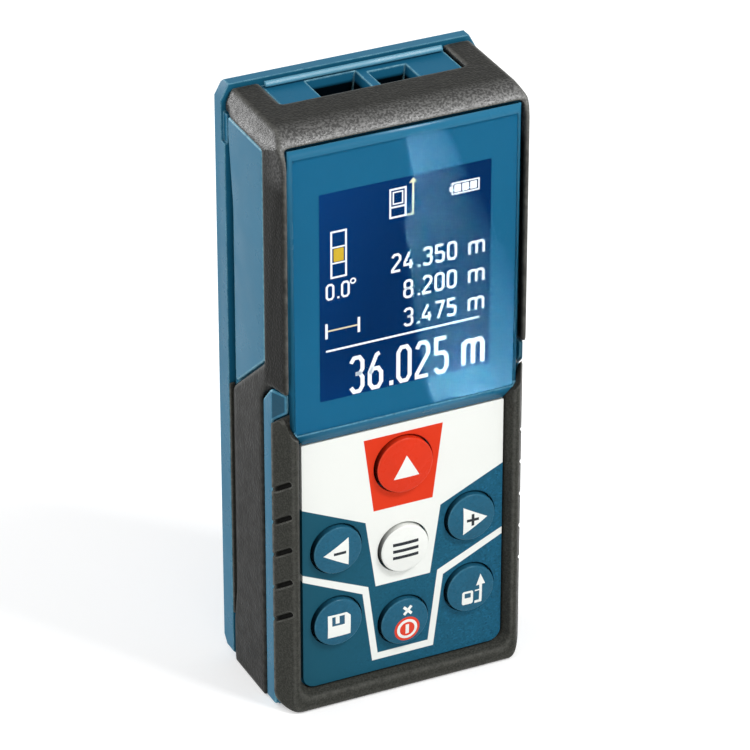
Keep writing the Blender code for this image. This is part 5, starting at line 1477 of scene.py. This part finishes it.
@dataclass
class DisplayWindow:
    """Clear cover over a printed border, the dark picture and its marks."""

    pane_face: float = -11.30
    pane_back: float = -11.08
    pane_rim: float = 0.10
    print_face: float = -10.96
    print_back: float = -9.60
    bevel_wall: float = 0.5
    highlight_line: float = 0.18
    picture_half: float = 15.0
    picture_low: float = 57.5
    picture_high: float = 94.5
    picture_face: float = -11.00
    picture_back: float = -10.90
    mark_face: float = -11.04
    mark_back: float = -10.98
    mark_corner: float = 0.12
    mark_steps: int = 4
    line: float = 0.32
    thin_line: float = 0.26
    finest_line: float = 0.24
    picture_corner: float = 0.15
    highlight_line_depth: float = 0.02
    rim_slants: Point = (-0.985, -0.05)
    front_slant: float = -0.99
    rim_angle: float = 20.0
    level: Sides = (-12.95, -10.4, 79.5, 87.55)
    level_lines: Point = (82.0, 84.8)
    bubble: Sides = (-12.55, -10.8, 82.25, 84.55)
    bubble_corner: float = 0.2
    degree: Point = (-9.2, 78.2)
    degree_radius: float = 0.42
    degree_steps: int = 12
    span_ends: Point = (-13.85, -8.2)
    span_heights: Point = (68.75, 71.45)
    span_weight: float = 0.42
    span_line: Points = ((-13.6, 70.1), (-8.45, 70.1))
    unit: Sides = (-2.72, -0.05, 87.82, 92.75)
    unit_line: Points = ((-2.72, 89.6), (-0.05, 89.6))
    unit_weight: float = 0.3
    unit_screen: Sides = (-2.2, -0.57, 90.15, 92.2)
    screen_weight: float = 0.22
    battery: Sides = (8.1, 12.8, 89.62, 91.52)
    battery_cells: Numbers = (8.45, 9.85, 11.25)
    cell_width: float = 1.2
    cell_heights: Point = (89.9, 91.24)
    battery_pole: Sides = (7.6, 8.02, 90.15, 91.0)
    sum_line: Points = ((-13.95, 66.5), (13.15, 66.5))
    sum_weight: float = 0.34
    arrow: Points = ((0.1, 87.8), (1.26, 87.8), (1.26, 93.4))
    arrow_head: Points = ((0.56, 93.3), (1.96, 93.3), (1.26, 94.15))
    readings: tuple[Lettering, ...] = (
        *(
            Lettering(text, left, foot, 1.78, 3.35, 2.17, 0.42, 1.15)
            for text, left, foot in (
                ("24.350", -2.55, 77.95), ("8.200", -0.40, 72.85), ("3.475", -0.40, 67.75),
            )
        ),
        *(Lettering("m", 11.05, foot, 2.95, 2.55, 3.0, 0.42) for foot in (77.95, 72.85, 67.75)),
        Lettering("36.025", -9.95, 57.65, 2.72, 6.85, 3.30, 0.70, 1.75),
        Lettering("m", 10.00, 57.75, 4.20, 5.10, 4.4, 0.80),
        Lettering("0.0", -13.95, 75.60, 1.50, 2.90, 1.72, 0.36, 0.95),
    )

    def bevels(self) -> Piece:
        """Open copy of the window's slanted rim, given a wall behind it."""
        shape = shell_copy("display_window")
        shape.normal_update()
        steep, shallow = self.rim_slants
        others = [face for face in shape.faces if not steep < face.normal.y < shallow]
        bmesh.ops.delete(shape, geom=others, context="FACES")
        return thicken(add_shell("window_rim", shape, self.rim_angle), self.bevel_wall)

    def front(self) -> Array:
        """Corners of the window's flat front."""
        shape = shell_copy("display_window")
        shape.normal_update()
        fronts = (face for face in shape.faces if face.normal.y < self.front_slant)
        flat = max(fronts, key=lambda face: face.calc_area())
        corners = np.array([(corner.co.x, corner.co.z) for corner in flat.verts]) / MM
        shape.free()
        return corners

    def line_mark(self, path: Points | list[Point], width: float) -> Surface:
        """One line of the picture."""
        return stroke(list(path), width, self.mark_face, self.mark_back)

    def block(self, sides: Sides, radius: float) -> Surface:
        """One filled block of the picture."""
        return plate(box_outline(*sides, radius, self.mark_steps), self.mark_face, self.mark_back)

    def box_mark(self, sides: Sides, width: float) -> Surface:
        """Outline of a box as one closed line."""
        left, right, low, high = sides
        return self.line_mark([(left, low), (right, low), (right, high), (left, high), (left, low)], width)

    def white_marks(self) -> Surface:
        """Readings, level, dimension sign, instrument sign, battery sign and the line above the sum."""
        marks = [
            mark for reading in self.readings for mark in reading.strokes(self.mark_face, self.mark_back)
        ]
        left, right = self.level[:2]
        marks.append(self.box_mark(self.level, self.line))
        marks += [self.line_mark([(left, z), (right, z)], self.thin_line) for z in self.level_lines]
        ring = closed_path(circle(self.degree, self.degree_radius, self.degree_steps))
        marks.append(self.line_mark(ring, self.finest_line))
        ends = [[(x, z) for z in self.span_heights] for x in self.span_ends]
        marks += [self.line_mark(end, self.span_weight) for end in ends]
        marks.append(self.box_mark(self.unit, self.line))
        marks.append(self.line_mark(self.unit_line, self.unit_weight))
        marks.append(self.box_mark(self.unit_screen, self.screen_weight))
        marks.append(self.box_mark(self.battery, self.finest_line))
        cells = [(left, left + self.cell_width, *self.cell_heights) for left in self.battery_cells]
        marks += [self.block(sides, self.mark_corner) for sides in (*cells, self.battery_pole)]
        marks.append(self.line_mark(self.sum_line, self.sum_weight))
        return together(marks)

    def cream_marks(self) -> Surface:
        """Arrow beside the instrument sign and the dimension sign's line."""
        return together([
            self.line_mark(self.arrow, self.unit_weight),
            plate(np.array(self.arrow_head), self.mark_face, self.mark_back),
            self.line_mark(self.span_line, self.thin_line),
        ])

    def build(self) -> list[Piece]:
        """Builds and dresses the cover, its print, the picture and the marks."""
        half, low, high = self.picture_half, self.picture_low, self.picture_high
        outline = box_outline(-half, half, low, high, self.picture_corner, self.mark_steps)
        flat = self.front()
        lower = flat[flat[:, 1] < low]
        edge = lower[np.argsort(lower[:, 0])].tolist()
        pane = plate(flat, self.pane_face, self.pane_back, self.pane_rim)
        # A pale strip along the lower edge of the cover's front, painted as a highlight.
        highlight_line = stroke(edge, self.highlight_line, self.pane_face + self.highlight_line_depth, self.pane_back)
        border = plate(flat, self.print_face, self.print_back)
        ground = plate(outline, self.picture_face, self.picture_back)
        bubble = self.block(self.bubble, self.bubble_corner)
        return [
            dress(add_piece("window_pane", pane), WINDOW_PANE, "housing", "window_glass", "display_window"),
            dress(self.bevels(), WINDOW_EDGE, "housing", "window_glass"),
            dress(add_piece("window_highlight_line", highlight_line), WINDOW_HIGHLIGHT_LINE, "housing", "window_glass"),
            dress(add_piece("window_border", border), WINDOW_PRINT, "housing", "window_glass"),
            dress(add_piece("picture_ground", ground), PICTURE, "housing", "screen"),
            dress(add_piece("picture_marks", self.white_marks()), PICTURE_WHITE, "housing", "screen"),
            dress(add_piece("picture_arrow", self.cream_marks()), PICTURE_CREAM, "housing", "screen"),
            dress(add_piece("picture_bubble", bubble), PICTURE_YELLOW, "housing", "screen"),
        ]


class Key(Enum):
    """The seven keys: first word of the CAD names, middle on the front and radius of the cap."""

    MEASURE = ("measure", (0.0, 42.2), 5.0)
    FUNCTION = ("function", (0.0, 26.4), 4.3)
    MINUS = ("minus", (-12.1, 29.2), 4.3)
    PLUS = ("plus", (12.1, 29.2), 4.3)
    MEMORY = ("memory", (-12.1, 15.4), 4.3)
    POWER = ("power", (0.0, 12.3), 4.3)
    REFERENCE = ("reference", (12.1, 15.4), 4.3)

    def __init__(self, label: str, centre: Point, radius: float) -> None:
        """Names the three values."""
        self.label, self.centre, self.radius = label, centre, radius


class Layer(Enum):
    """Inks on a key, with the height of each above the cap."""

    WHITE = (INK_WHITE, 0.020)
    DARK = (INK_DARK, 0.032)
    BLUE = (INK_BLUE, 0.032)
    RED = (INK_RED, 0.012)
    TOP_WHITE = (INK_WHITE, 0.044)


@dataclass
class Keypad:
    """Printed panel, its seven keys and the signs on them."""

    half_width: float = 18.1
    low: float = 3.6
    high: float = 49.8
    corner: float = 2.2
    top_corner: float = 0.15
    face: float = -10.4
    back: float = -9.4
    rim: float = 0.18
    hole_room: float = 0.34
    crown: float = -11.55
    shoulder: float = 0.30
    cap_round: float = 0.28
    # Painted shadow at the foot of each cap, strongest on one side.
    painted_shade: float = 0.95
    painted_shade_rows: int = 3
    shade_side: float = math.radians(200.0)
    shade_mean: float = 0.35
    shade_swing: float = 0.75
    shade_least: float = 0.12
    dome_rows: int = 12
    edge_rows: int = 9
    corner_steps: int = 16
    hole_steps: int = 96
    sign_steps: int = 48
    flange_front: float = -7.6
    flange_back: float = -6.9
    flange_reach: float = 0.9
    stem: float = 1.6
    stem_back: float = -5.6
    sink: float = 0.05
    finest: float = 0.7
    finer_rounds: int = 3
    finishes: dict[Key, tuple[Finish, str]] = field(
        default_factory=lambda: {Key.MEASURE: (RED_KEY, "red_key"), Key.FUNCTION: (WHITE_KEY, "white_key")}
    )

    def dome(self, distance: Array, radius: float) -> Array:
        """Y of a cap's top: the crown, falling with the square of the distance to the shoulder at its rim."""
        return self.crown + self.shoulder * (distance / (radius - self.cap_round)) ** 2

    def cap(self, key: Key) -> Surface:
        """Key as a turned shape: stem, flange, wall, a quarter circle at the rim and the dome.

        Args:
            key: Which key.

        Returns:
            The closed surface.
        """
        flat = np.linspace(0.0, key.radius - self.cap_round, self.dome_rows)
        dome = np.stack((flat, self.dome(flat, key.radius)), axis=-1)
        turn = np.linspace(0.0, math.pi / 2.0, self.edge_rows)[1:]
        edge = dome[-1] + self.cap_round * np.stack((np.sin(turn), 1.0 - np.cos(turn)), axis=-1)
        reach = key.radius + self.flange_reach
        behind = np.array([
            (key.radius, self.flange_front), (reach, self.flange_front), (reach, self.flange_back),
            (self.stem, self.flange_back), (self.stem, self.stem_back), (0.0, self.stem_back),
        ])
        surface = turned(np.concatenate((dome, edge, behind)), key.centre)
        # The lowest rows of the cap get painted shadow, strongest towards the lower left and weakest on top.
        painted_shades = np.full(len(dome) + len(edge) + len(behind), -self.painted_shade)
        painted_shades[:len(dome) + len(edge) - self.painted_shade_rows] = 0.0
        angle = angles(len(surface.points) // len(painted_shades))
        shade = self.shade_mean + self.shade_swing * np.cos(angle - self.shade_side)
        surface.rim = np.outer(painted_shades, np.clip(shade, self.shade_least, 1.0)).ravel()
        return surface

    def flat_signs(self, key: Key) -> dict[Layer, list[Surface]]:
        """Signs of a key on the flat drawing, about the key's middle, at no height.

        Args:
            key: Which key.

        Returns:
            The shapes of each ink.
        """
        def area(*corners: Point) -> Surface:
            """Filled shape with straight sides."""
            return plate(np.array(corners), 0.0, self.sink)

        def line(width: float, *points: Point) -> Surface:
            """Line of one width."""
            return stroke(list(points), width, 0.0, self.sink)

        def disc(centre: Point, radius: float) -> Surface:
            """Filled circle."""
            return plate(circle(centre, radius, self.sign_steps), 0.0, self.sink)

        def ring(centre: Point, radius: float, width: float) -> Surface:
            """Circle drawn as a line."""
            return line(width, *closed_path(circle(centre, radius, self.sign_steps)))

        return {
            Key.MEASURE: {Layer.WHITE: [area((-2.2, -2.1), (2.4, -2.1), (0.1, 2.0))]},
            Key.FUNCTION: {Layer.DARK: [line(0.55, (-2.3, z), (2.3, z)) for z in (1.25, 0.0, -1.25)]},
            Key.MINUS: {
                Layer.WHITE: [area((-2.7, -0.4), (1.8, -3.0), (1.8, 2.2))],
                Layer.DARK: [line(0.5, (-0.9, -0.4), (1.3, -0.4))],
            },
            Key.PLUS: {
                Layer.WHITE: [area((2.8, -0.3), (-1.6, 2.3), (-1.6, -2.9))],
                Layer.DARK: [line(0.5, (-1.0, -0.3), (1.2, -0.3)), line(0.5, (0.1, 0.8), (0.1, -1.4))],
            },
            Key.MEMORY: {
                Layer.WHITE: [area((-2.0, -2.5), (2.1, -2.5), (2.1, 1.1), (1.4, 1.8), (-2.0, 1.8))],
                Layer.BLUE: [area((-1.25, -0.3), (1.0, -0.3), (1.0, 1.4), (-1.25, 1.4))],
                Layer.TOP_WHITE: [area((-0.65, 0.1), (0.05, 0.1), (0.05, 1.4), (-0.65, 1.4))],
            },
            Key.POWER: {
                Layer.RED: [disc((0.3, -1.35), 2.3)],
                Layer.WHITE: [
                    ring((0.3, -1.35), 1.6, 0.5), line(0.62, (0.3, -0.45), (0.3, -2.25)),
                    line(0.5, (-0.3, 2.9), (1.1, 1.5)), line(0.5, (-0.3, 1.5), (1.1, 2.9)),
                ],
            },
            Key.REFERENCE: {
                Layer.WHITE: [
                    plate(box_outline(-1.7, 0.3, -2.75, -0.15, 0.35, 5), 0.0, self.sink),
                    line(0.25, (0.62, -0.35), (1.45, -0.35)),
                    line(0.5, (0.62, -2.6), (1.7, -2.6), (1.7, 0.7)),
                    area((0.85, 0.6), (2.55, 0.6), (1.7, 2.6)),
                ],
                Layer.BLUE: [plate(box_outline(-1.25, -0.15, -1.45, -0.55, 0.1, 4), 0.0, self.sink)],
            },
        }[key]

    def drape(self, piece: Piece, key: Key, lift: float) -> Piece:
        """Cuts a flat sign fine and lays it on the cap's dome.

        Args:
            piece: Flat sign about the key's middle.
            key: Which key.
            lift: Height above the cap.

        Returns:
            The same object, in place.
        """
        shape = bmesh.new()
        shape.from_mesh(piece.data)
        bmesh.ops.triangulate(shape, faces=shape.faces[:])
        for _ in range(self.finer_rounds):
            long = [edge for edge in shape.edges if edge.calc_length() > self.finest * MM]
            bmesh.ops.subdivide_edges(shape, edges=long, cuts=1, use_grid_fill=True)
            bmesh.ops.triangulate(shape, faces=shape.faces[:])
        shape.to_mesh(piece.data)
        shape.free()

        def lay(points: Array) -> Array:
            """Sets the corners on the dome and moves them to the key."""
            height = self.dome(np.hypot(points[:, 0], points[:, 2]), key.radius) - lift
            return points + laid(*key.centre, height, Facing.FRONT)

        move_corners(piece.data, lay)
        return piece

    def build(self) -> list[Piece]:
        """Builds and dresses the panel, the keys and their signs."""
        right, left = self.half_width, -self.half_width
        corners = [(left, self.low), (right, self.low), (right, self.high), (left, self.high)]
        radii = [self.corner, self.corner, self.top_corner, self.top_corner]
        loops = [rounded(corners, radii, self.corner_steps)]
        loops += [circle(key.centre, key.radius + self.hole_room, self.hole_steps) for key in Key]
        panel = round_edges(holed_plate("keypad_face", loops, self.face, self.back), self.rim)
        pieces = [dress(panel, KEYPAD, "housing", "printed_panel", "keypad_panel")]
        for key in Key:
            finish, slot = self.finishes.get(key, (BLUE_KEY, "blue_key"))
            body = f"{key.label}_key"
            cap = add_piece(f"{key.label}_cap", self.cap(key))
            pieces.append(dress(cap, finish, body, slot, f"{key.label}_button"))
            for layer, shapes in self.flat_signs(key).items():
                ink, lift = layer.value
                sign = add_piece(f"{key.label}_sign_{layer.name.lower()}", together(shapes))
                pieces.append(dress(self.drape(sign, key, lift), ink, body, slot))
        return pieces


@dataclass
class OpticsHead:
    """Blue inset at the top end with the two coated windows."""

    inset_edge: float = 0.12
    face: float = 100.9
    back: float = 99.9
    corner: float = 0.8
    rim: float = 0.2
    receiver: Sides = (-8.5, -0.3, 1.6, 7.4)
    beam: Sides = (1.9, 8.0, 1.6, 6.2)
    ridge_half: float = 15.5
    ridge: Points = ((8.25, 105.92), (8.05, 105.9), (7.62, 105.42), (7.6, 105.1), (8.25, 105.05))
    ridge_corners: Numbers = (0.05, 0.2, 0.2, 0.05, 0.05)
    ridge_steps: int = 6
    ridge_rows: int = 60

    def ledge(self) -> Piece:
        """Pale ridge along the back of the inset, painted as a highlight: one rounded section carried across.
        """
        depth, up = rounded(list(self.ridge), list(self.ridge_corners), self.ridge_steps).T
        across = np.linspace(-self.ridge_half, self.ridge_half, self.ridge_rows)[:, None]
        return add_piece("optics_ridge", grid(laid(across, up, depth, Facing.FRONT)))

    def glass(self, name: str, sides: Sides) -> Piece:
        """Window with round corners and a rounded rim."""
        outline = box_outline(*sides, self.corner)
        return add_piece(name, plate(outline, self.face, self.back, self.rim, Facing.TOP))

    def build(self) -> list[Piece]:
        """Builds and dresses the inset and both windows."""
        inset = copied("optics_inset", "optics_bezel", self.inset_edge)
        ridge = self.ledge()
        receiver = self.glass("receiver_glass", self.receiver)
        beam = self.glass("beam_glass", self.beam)
        return [
            dress(inset, BLUE_INSET, "housing", "blue_plastic", "optics_bezel"),
            dress(ridge, RIDGE_HIGHLIGHT, "housing", "blue_plastic"),
            dress(receiver, LENS, "housing", "lens_glass", "receiver_window"),
            dress(beam, LENS, "housing", "lens_glass", "beam_window"),
        ]


@dataclass
class BackFittings:
    """Battery lid with its grip, its ribbed latch, the bare label plate and the threaded tripod insert."""

    back: float = 11.98
    lid_edge: float = 0.15
    lid_face: float = 11.72
    bar_heights: Numbers = (43.2, 44.6, 46.0, 47.4)
    bar_half: float = 4.6
    bar_width: float = 0.7
    bar_corner: float = 0.45
    bar_rim: float = 0.18
    bed: float = 0.1
    arrow: Points = ((-2.6, 41.0), (0.0, 38.8), (2.6, 41.0))
    arrow_width: float = 0.8
    corner: float = 0.3
    floor: Sides = (-5.8, 5.8, 48.9, 51.9)
    floor_face: float = 10.79
    floor_back: float = 10.5
    floor_rim: float = 0.05
    latch: Sides = (-5.0, 5.0, 50.9, 56.7)
    latch_face: float = 11.45
    latch_back: float = 10.8
    latch_rim: float = 0.2
    latch_bars: Numbers = (52.0, 53.2, 54.4, 55.6)
    latch_bar_half: float = 4.1
    latch_bar_width: float = 0.62
    label: Sides = (-12.6, 12.6, 70.4, 96.1)
    label_face: float = 11.86
    label_back: float = 11.69
    label_corner: float = 1.2
    label_rim: float = 0.06
    label_margin: float = 1.0
    label_frame_corner: float = 0.6
    label_frame_width: float = 0.2
    label_rules: Numbers = (78.4, 87.2)
    label_rule_width: float = 0.14
    ink_rise: float = 0.02
    ink_sink: float = 0.05
    insert_height: float = 62.6
    insert_radius: float = 4.3
    insert_front: float = 5.8
    insert_back: float = 11.8
    bore: float = 3.175
    chamfer: float = 0.45
    collar_chamfer: float = 0.25
    thread_pitch: float = 1.27
    thread_depth: float = 0.45
    thread_rows: int = 110
    thread_steps: int = 96

    def sunk(self, points: Array) -> Array:
        """Takes the lid's face back a little, so that its grip can stand on it."""
        x, y, z = points.T
        return np.stack((x, np.minimum(y, self.lid_face), z), axis=-1)

    def bars(self, half: float, heights: Numbers, foot: float, tall: float) -> list[Surface]:
        """Rounded bars across the middle, from the half of their length, their heights, foot and width."""
        edge, corner = tall / 2.0, tall * self.bar_corner
        outlines = [box_outline(-half, half, z - edge, z + edge, corner) for z in heights]
        return [plate(outline, self.back, foot, self.bar_rim) for outline in outlines]

    def insert(self) -> Surface:
        """Turned insert: its bore's radius falls and climbs as a triangle wave of the depth and the angle."""
        angle = angles(self.thread_steps)[None, :]
        depth = np.linspace(self.insert_front, self.insert_back - self.chamfer, self.thread_rows)[:, None]
        phase = (depth / self.thread_pitch + angle / TURN) % 1.0
        ends = np.minimum(depth - self.insert_front, self.insert_back - self.chamfer - depth)
        thread = self.bore - self.thread_depth * np.abs(2.0 * phase - 1.0) * np.clip(ends, 0.0, 1.0)
        collar = np.array([
            (self.bore + self.chamfer, self.insert_back),
            (self.insert_radius - self.collar_chamfer, self.insert_back),
            (self.insert_radius, self.insert_back - self.collar_chamfer),
            (self.insert_radius, self.insert_front),
        ])
        radius = np.concatenate((thread, np.broadcast_to(collar[:, :1], (len(collar), angle.shape[1]))))
        depth = np.concatenate((depth, collar[:, 1:]))
        up = self.insert_height + radius * np.sin(angle)
        return grid(laid(radius * np.cos(angle), up, depth, Facing.FRONT), wrap_rows=True)

    def label_lines(self) -> Surface:
        """Frame and rules printed on the bare label."""
        left, right, low, high = self.label
        left, right = left + self.label_margin, right - self.label_margin
        outline = box_outline(
            left, right, low + self.label_margin, high - self.label_margin, self.label_frame_corner
        )
        paths = [(closed_path(outline), self.label_frame_width)]
        paths += [([(left, z), (right, z)], self.label_rule_width) for z in self.label_rules]
        face, back = self.label_face + self.ink_rise, self.label_face - self.ink_sink
        return together([stroke(path, width, face, back) for path, width in paths])

    def build(self) -> list[Piece]:
        """Builds and dresses the lid, the latch, the label and the insert."""
        lid = round_edges(reshaped("lid_cover", "battery_lid", (), self.sunk), self.lid_edge)
        lid_bed, latch_bed = self.lid_face - self.bed, self.latch_face - self.bed
        grip = self.bars(self.bar_half, self.bar_heights, lid_bed, self.bar_width)
        grip.append(stroke(list(self.arrow), self.arrow_width, self.back - self.bed, lid_bed))
        floor = plate(box_outline(*self.floor, self.corner), self.floor_face, self.floor_back, self.floor_rim)
        latch_outline = box_outline(*self.latch, self.corner)
        latch = [plate(latch_outline, self.latch_face, self.latch_back, self.latch_rim)]
        latch += self.bars(self.latch_bar_half, self.latch_bars, latch_bed, self.latch_bar_width)
        slider = together(latch)
        label_outline = box_outline(*self.label, self.label_corner)
        label = plate(label_outline, self.label_face, self.label_back, self.label_rim)
        return [
            dress(lid, BLUE_SHELL, "lid", "blue_plastic", "battery_lid"),
            dress(add_piece("lid_grip", together(grip)), BLUE_SHELL, "lid", "blue_plastic"),
            dress(add_piece("lid_slot_floor", floor), BLACK_PLASTIC, "lid", "blue_plastic"),
            dress(add_piece("latch_slider", slider), BLACK_PLASTIC, "latch", "black_plastic", "lid_latch"),
            dress(add_piece("back_label", label), LABEL, "housing", "black_plastic"),
            dress(add_piece("label_lines", self.label_lines()), INK_DARK, "housing", "black_plastic"),
            dress(add_piece("threaded_insert", self.insert()), BRASS, "housing", "brass", "tripod_insert"),
        ]


@dataclass
class InnerWorks:
    """Finishes of the CAD nodes that are shown as they are."""

    finishes: dict[str, Finish] = field(default_factory=lambda: {
        "blue_plastic": BLUE_SHELL, "black_rubber": BLACK_RUBBER, "screen": PICTURE, "light_guide": GUIDE,
        "black_plastic": BLACK_PLASTIC, "foam": FOAM, "board": BOARD, "polyimide": FILM, "tin": TIN,
        "steel": STEEL, "brass": BRASS, "lens_glass": LENS, "cell_sleeve": SLEEVE,
    })

    def build(self) -> list[Piece]:
        """Gives every CAD node with one of these slots its finish."""
        pieces = []
        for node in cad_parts.values():
            slot = node.data.materials[0].name
            if slot in self.finishes:
                node.data.materials[0] = material(self.finishes[slot])
                pieces.append(node)
        return pieces


@dataclass(frozen=True)
class Softbox:
    """Square soft lamp: where it stands, where it looks, how wide, how strong in watts and what colour."""

    name: str
    place: Place
    aim: Place
    width: float
    power: float
    colour: Colour = (1.0, 1.0, 1.0)
    turn: float = 0.0
    only: str = ""

    def build(self) -> bpy.types.Object:
        """Adds the lamp, turned from its place towards its aim, for every piece or for only one.

        Returns:
            The lamp.
        """
        light = bpy.data.lights.new(self.name, "AREA")
        light.shape = "SQUARE"
        light.size = self.width * MM
        light.energy = self.power
        light.color = self.colour
        lamp = bpy.data.objects.new(self.name, light)
        bpy.context.scene.collection.objects.link(lamp)
        lamp.location = Vector(self.place) * MM
        towards = (Vector(self.aim) - Vector(self.place)).to_track_quat("-Z", "Y")
        lamp.rotation_euler = (towards @ Quaternion((0.0, 0.0, 1.0), math.radians(self.turn))).to_euler()
        if self.only:
            lit = bpy.data.collections.new(self.name)
            lit.objects.link(bpy.data.objects[self.only])
            lamp.light_linking.receiver_collection = lit
            lamp.visible_camera = False
        return lamp


@dataclass(frozen=True)
class FadingBox(Softbox):
    """Soft lamp that is strongest along one edge, most at that edge's ends, and fades out across its width.

    Its strength is one less the square of the distance from the edge over the reach, times one plus the
    square of the distance from the middle of the edge times the ends' gain; all in shares of the width.
    """

    reach: float = 0.099
    widening: float = 0.103
    ends: float = 8.0

    def build(self) -> bpy.types.Object:
        """Adds the lamp and its fading.

        Returns:
            The lamp.
        """
        lamp = super().build()
        graph = LightGraph(lamp.data, "EMISSION")
        place = {"Vector": graph.add("NewGeometry", "Parametric")}
        across = graph.calc("SUBTRACT", 1.0, graph.add("SeparateXYZ", "X", place))
        along = graph.calc("SUBTRACT", graph.add("SeparateXYZ", "Y", place), 0.5)
        reach = graph.calc("ADD", graph.calc("MULTIPLY", along, self.widening), self.reach)
        share = graph.calc("DIVIDE", across, reach)
        fade = graph.calc("MAXIMUM", graph.calc("SUBTRACT", 1.0, graph.calc("MULTIPLY", share, share)), 0.0)
        gain = graph.calc("ADD", graph.calc("MULTIPLY", graph.calc("MULTIPLY", along, along), self.ends), 1.0)
        graph.give(Strength=graph.calc("MULTIPLY", fade, gain))
        return lamp


@dataclass
class Stage:
    """Pale floor, white surround, soft lamps and the camera."""

    floor_half: float = 1500.0
    floor_drop: float = 0.05
    floor_colour: Colour = (0.80, 0.80, 0.80)
    floor_lift: float = 0.34
    surround: float = 0.45
    azimuth: float = -25.44
    elevation: float = 29.45
    distance: float = 750.0
    middle: Place = (0.0, 0.0, 53.0)
    right_shift: float = -0.114
    up_shift: float = 0.26
    lens: float = 221.28
    sensor: float = 36.0
    near_clip: float = 10.0
    lamps: tuple[Softbox, ...] = (
        Softbox("overhead_box", (345.0, -450.0, 760.0), (0.0, 0.0, 60.0), 200.0, 5.0),
        Softbox("left_back_box", (-560.0, 760.0, 330.0), (0.0, 0.0, 60.0), 640.0, 8.6),
        Softbox("left_box", (-900.0, -160.0, 420.0), (0.0, 0.0, 50.0), 500.0, 0.9),
        Softbox("front_box", (-120.0, -950.0, 260.0), (0.0, 0.0, 50.0), 600.0, 1.5),
        Softbox("arch_box", (240.0, -340.0, 610.0), (0.0, 0.0, 100.0), 170.0, 14.0, only="rubber_arch"),
        Softbox("facet_box", (-480.0, 620.0, 110.0), (0.0, 0.0, 100.0), 200.0, 4.0, only="rubber_arch"),
        FadingBox(
            "pane_box", (139.3, -115.7, 3.0), (139.3, -115.7, 103.0), 150.0, 10.5, (0.24, 0.63, 1.0), -19.74,
            "window_pane",
        ),
    )

    @staticmethod
    def seen(graph: Graph, seen: float, unseen: float) -> Socket:
        """Strength for rays from the camera, mirrors and glass, and another for the rays that light."""
        path = graph.nodes.new("ShaderNodeLightPath").outputs
        either = graph.calc("MAXIMUM", path["Is Camera Ray"], path["Is Glossy Ray"])
        either = graph.calc("MAXIMUM", either, path["Is Transmission Ray"])
        return graph.span(either, 0.0, 1.0, unseen, seen)

    def add_floor(self) -> Piece:
        """Flat floor whose pale ground takes the shadow and whose seen part is lifted to white."""
        half = np.array([-self.floor_half, self.floor_half])
        across, along = np.meshgrid(half, half, indexing="ij")
        points = laid(across, along, -self.floor_drop, Facing.TOP)
        floor = add_piece("floor", grid(points, wrap_columns=False, caps=False))
        if floor.data.polygons[0].normal.z < 0.0:
            floor.data.flip_normals()
        ground = bpy.data.materials.new("floor_ground")
        graph = LightGraph(ground, "OUTPUT_MATERIAL")
        matt = graph.add("BsdfDiffuse", "BSDF", {"Color": self.floor_colour})
        lift = graph.add("Emission", "Emission", {"Strength": self.seen(graph, self.floor_lift, 0.0)})
        graph.give(Surface=graph.add("AddShader", "Shader", {0: matt, 1: lift}))
        floor.data.materials.append(ground)
        return floor

    def add_surround(self) -> None:
        """White world, dimmer for the rays that light things."""
        world = bpy.data.worlds.new("surround")
        graph = LightGraph(world, "BACKGROUND")
        graph.give(Color=(1.0, 1.0, 1.0), Strength=self.seen(graph, 1.0, self.surround))
        bpy.context.scene.world = world

    def add_camera(self) -> None:
        """Camera on a sphere round the middle, nudged along the picture's own axes."""
        turn, rise = math.radians(self.azimuth), math.radians(self.elevation)
        back = Vector((math.sin(turn) * math.cos(rise), -math.cos(turn) * math.cos(rise), math.sin(rise)))
        right = Vector((math.cos(turn), math.sin(turn), 0.0))
        up = back.cross(right)
        camera = bpy.data.cameras.new("camera")
        camera.lens = self.lens
        camera.sensor_width = self.sensor
        camera.clip_start = self.near_clip * MM
        viewer = bpy.data.objects.new("camera", camera)
        bpy.context.scene.collection.objects.link(viewer)
        place = Vector(self.middle) + back * self.distance + right * self.right_shift + up * self.up_shift
        viewer.location = place * MM
        viewer.rotation_euler = back.to_track_quat("Z", "Y").to_euler()
        bpy.context.scene.camera = viewer

    def build(self) -> list[Piece]:
        """Adds the floor, the surround, the lamps and the camera."""
        self.add_surround()
        for lamp in self.lamps:
            lamp.build()
        self.add_camera()
        bpy.context.scene.view_settings.view_transform = "Standard"
        return [self.add_floor()]


def main() -> None:
    """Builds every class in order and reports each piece."""
    logging.basicConfig(level=logging.INFO, format="%(message)s")
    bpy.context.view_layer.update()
    assemblies = (
        CaseShells(), RubberArmour(), DisplayWindow(), Keypad(), OpticsHead(), BackFittings(), InnerWorks(),
        Stage(),
    )
    for assembly in assemblies:
        for piece in assembly.build():
            LOG.info("%s: %s, %d faces", type(assembly).__name__, piece.name, len(piece.data.polygons))


if __name__ == "__main__":
    main()
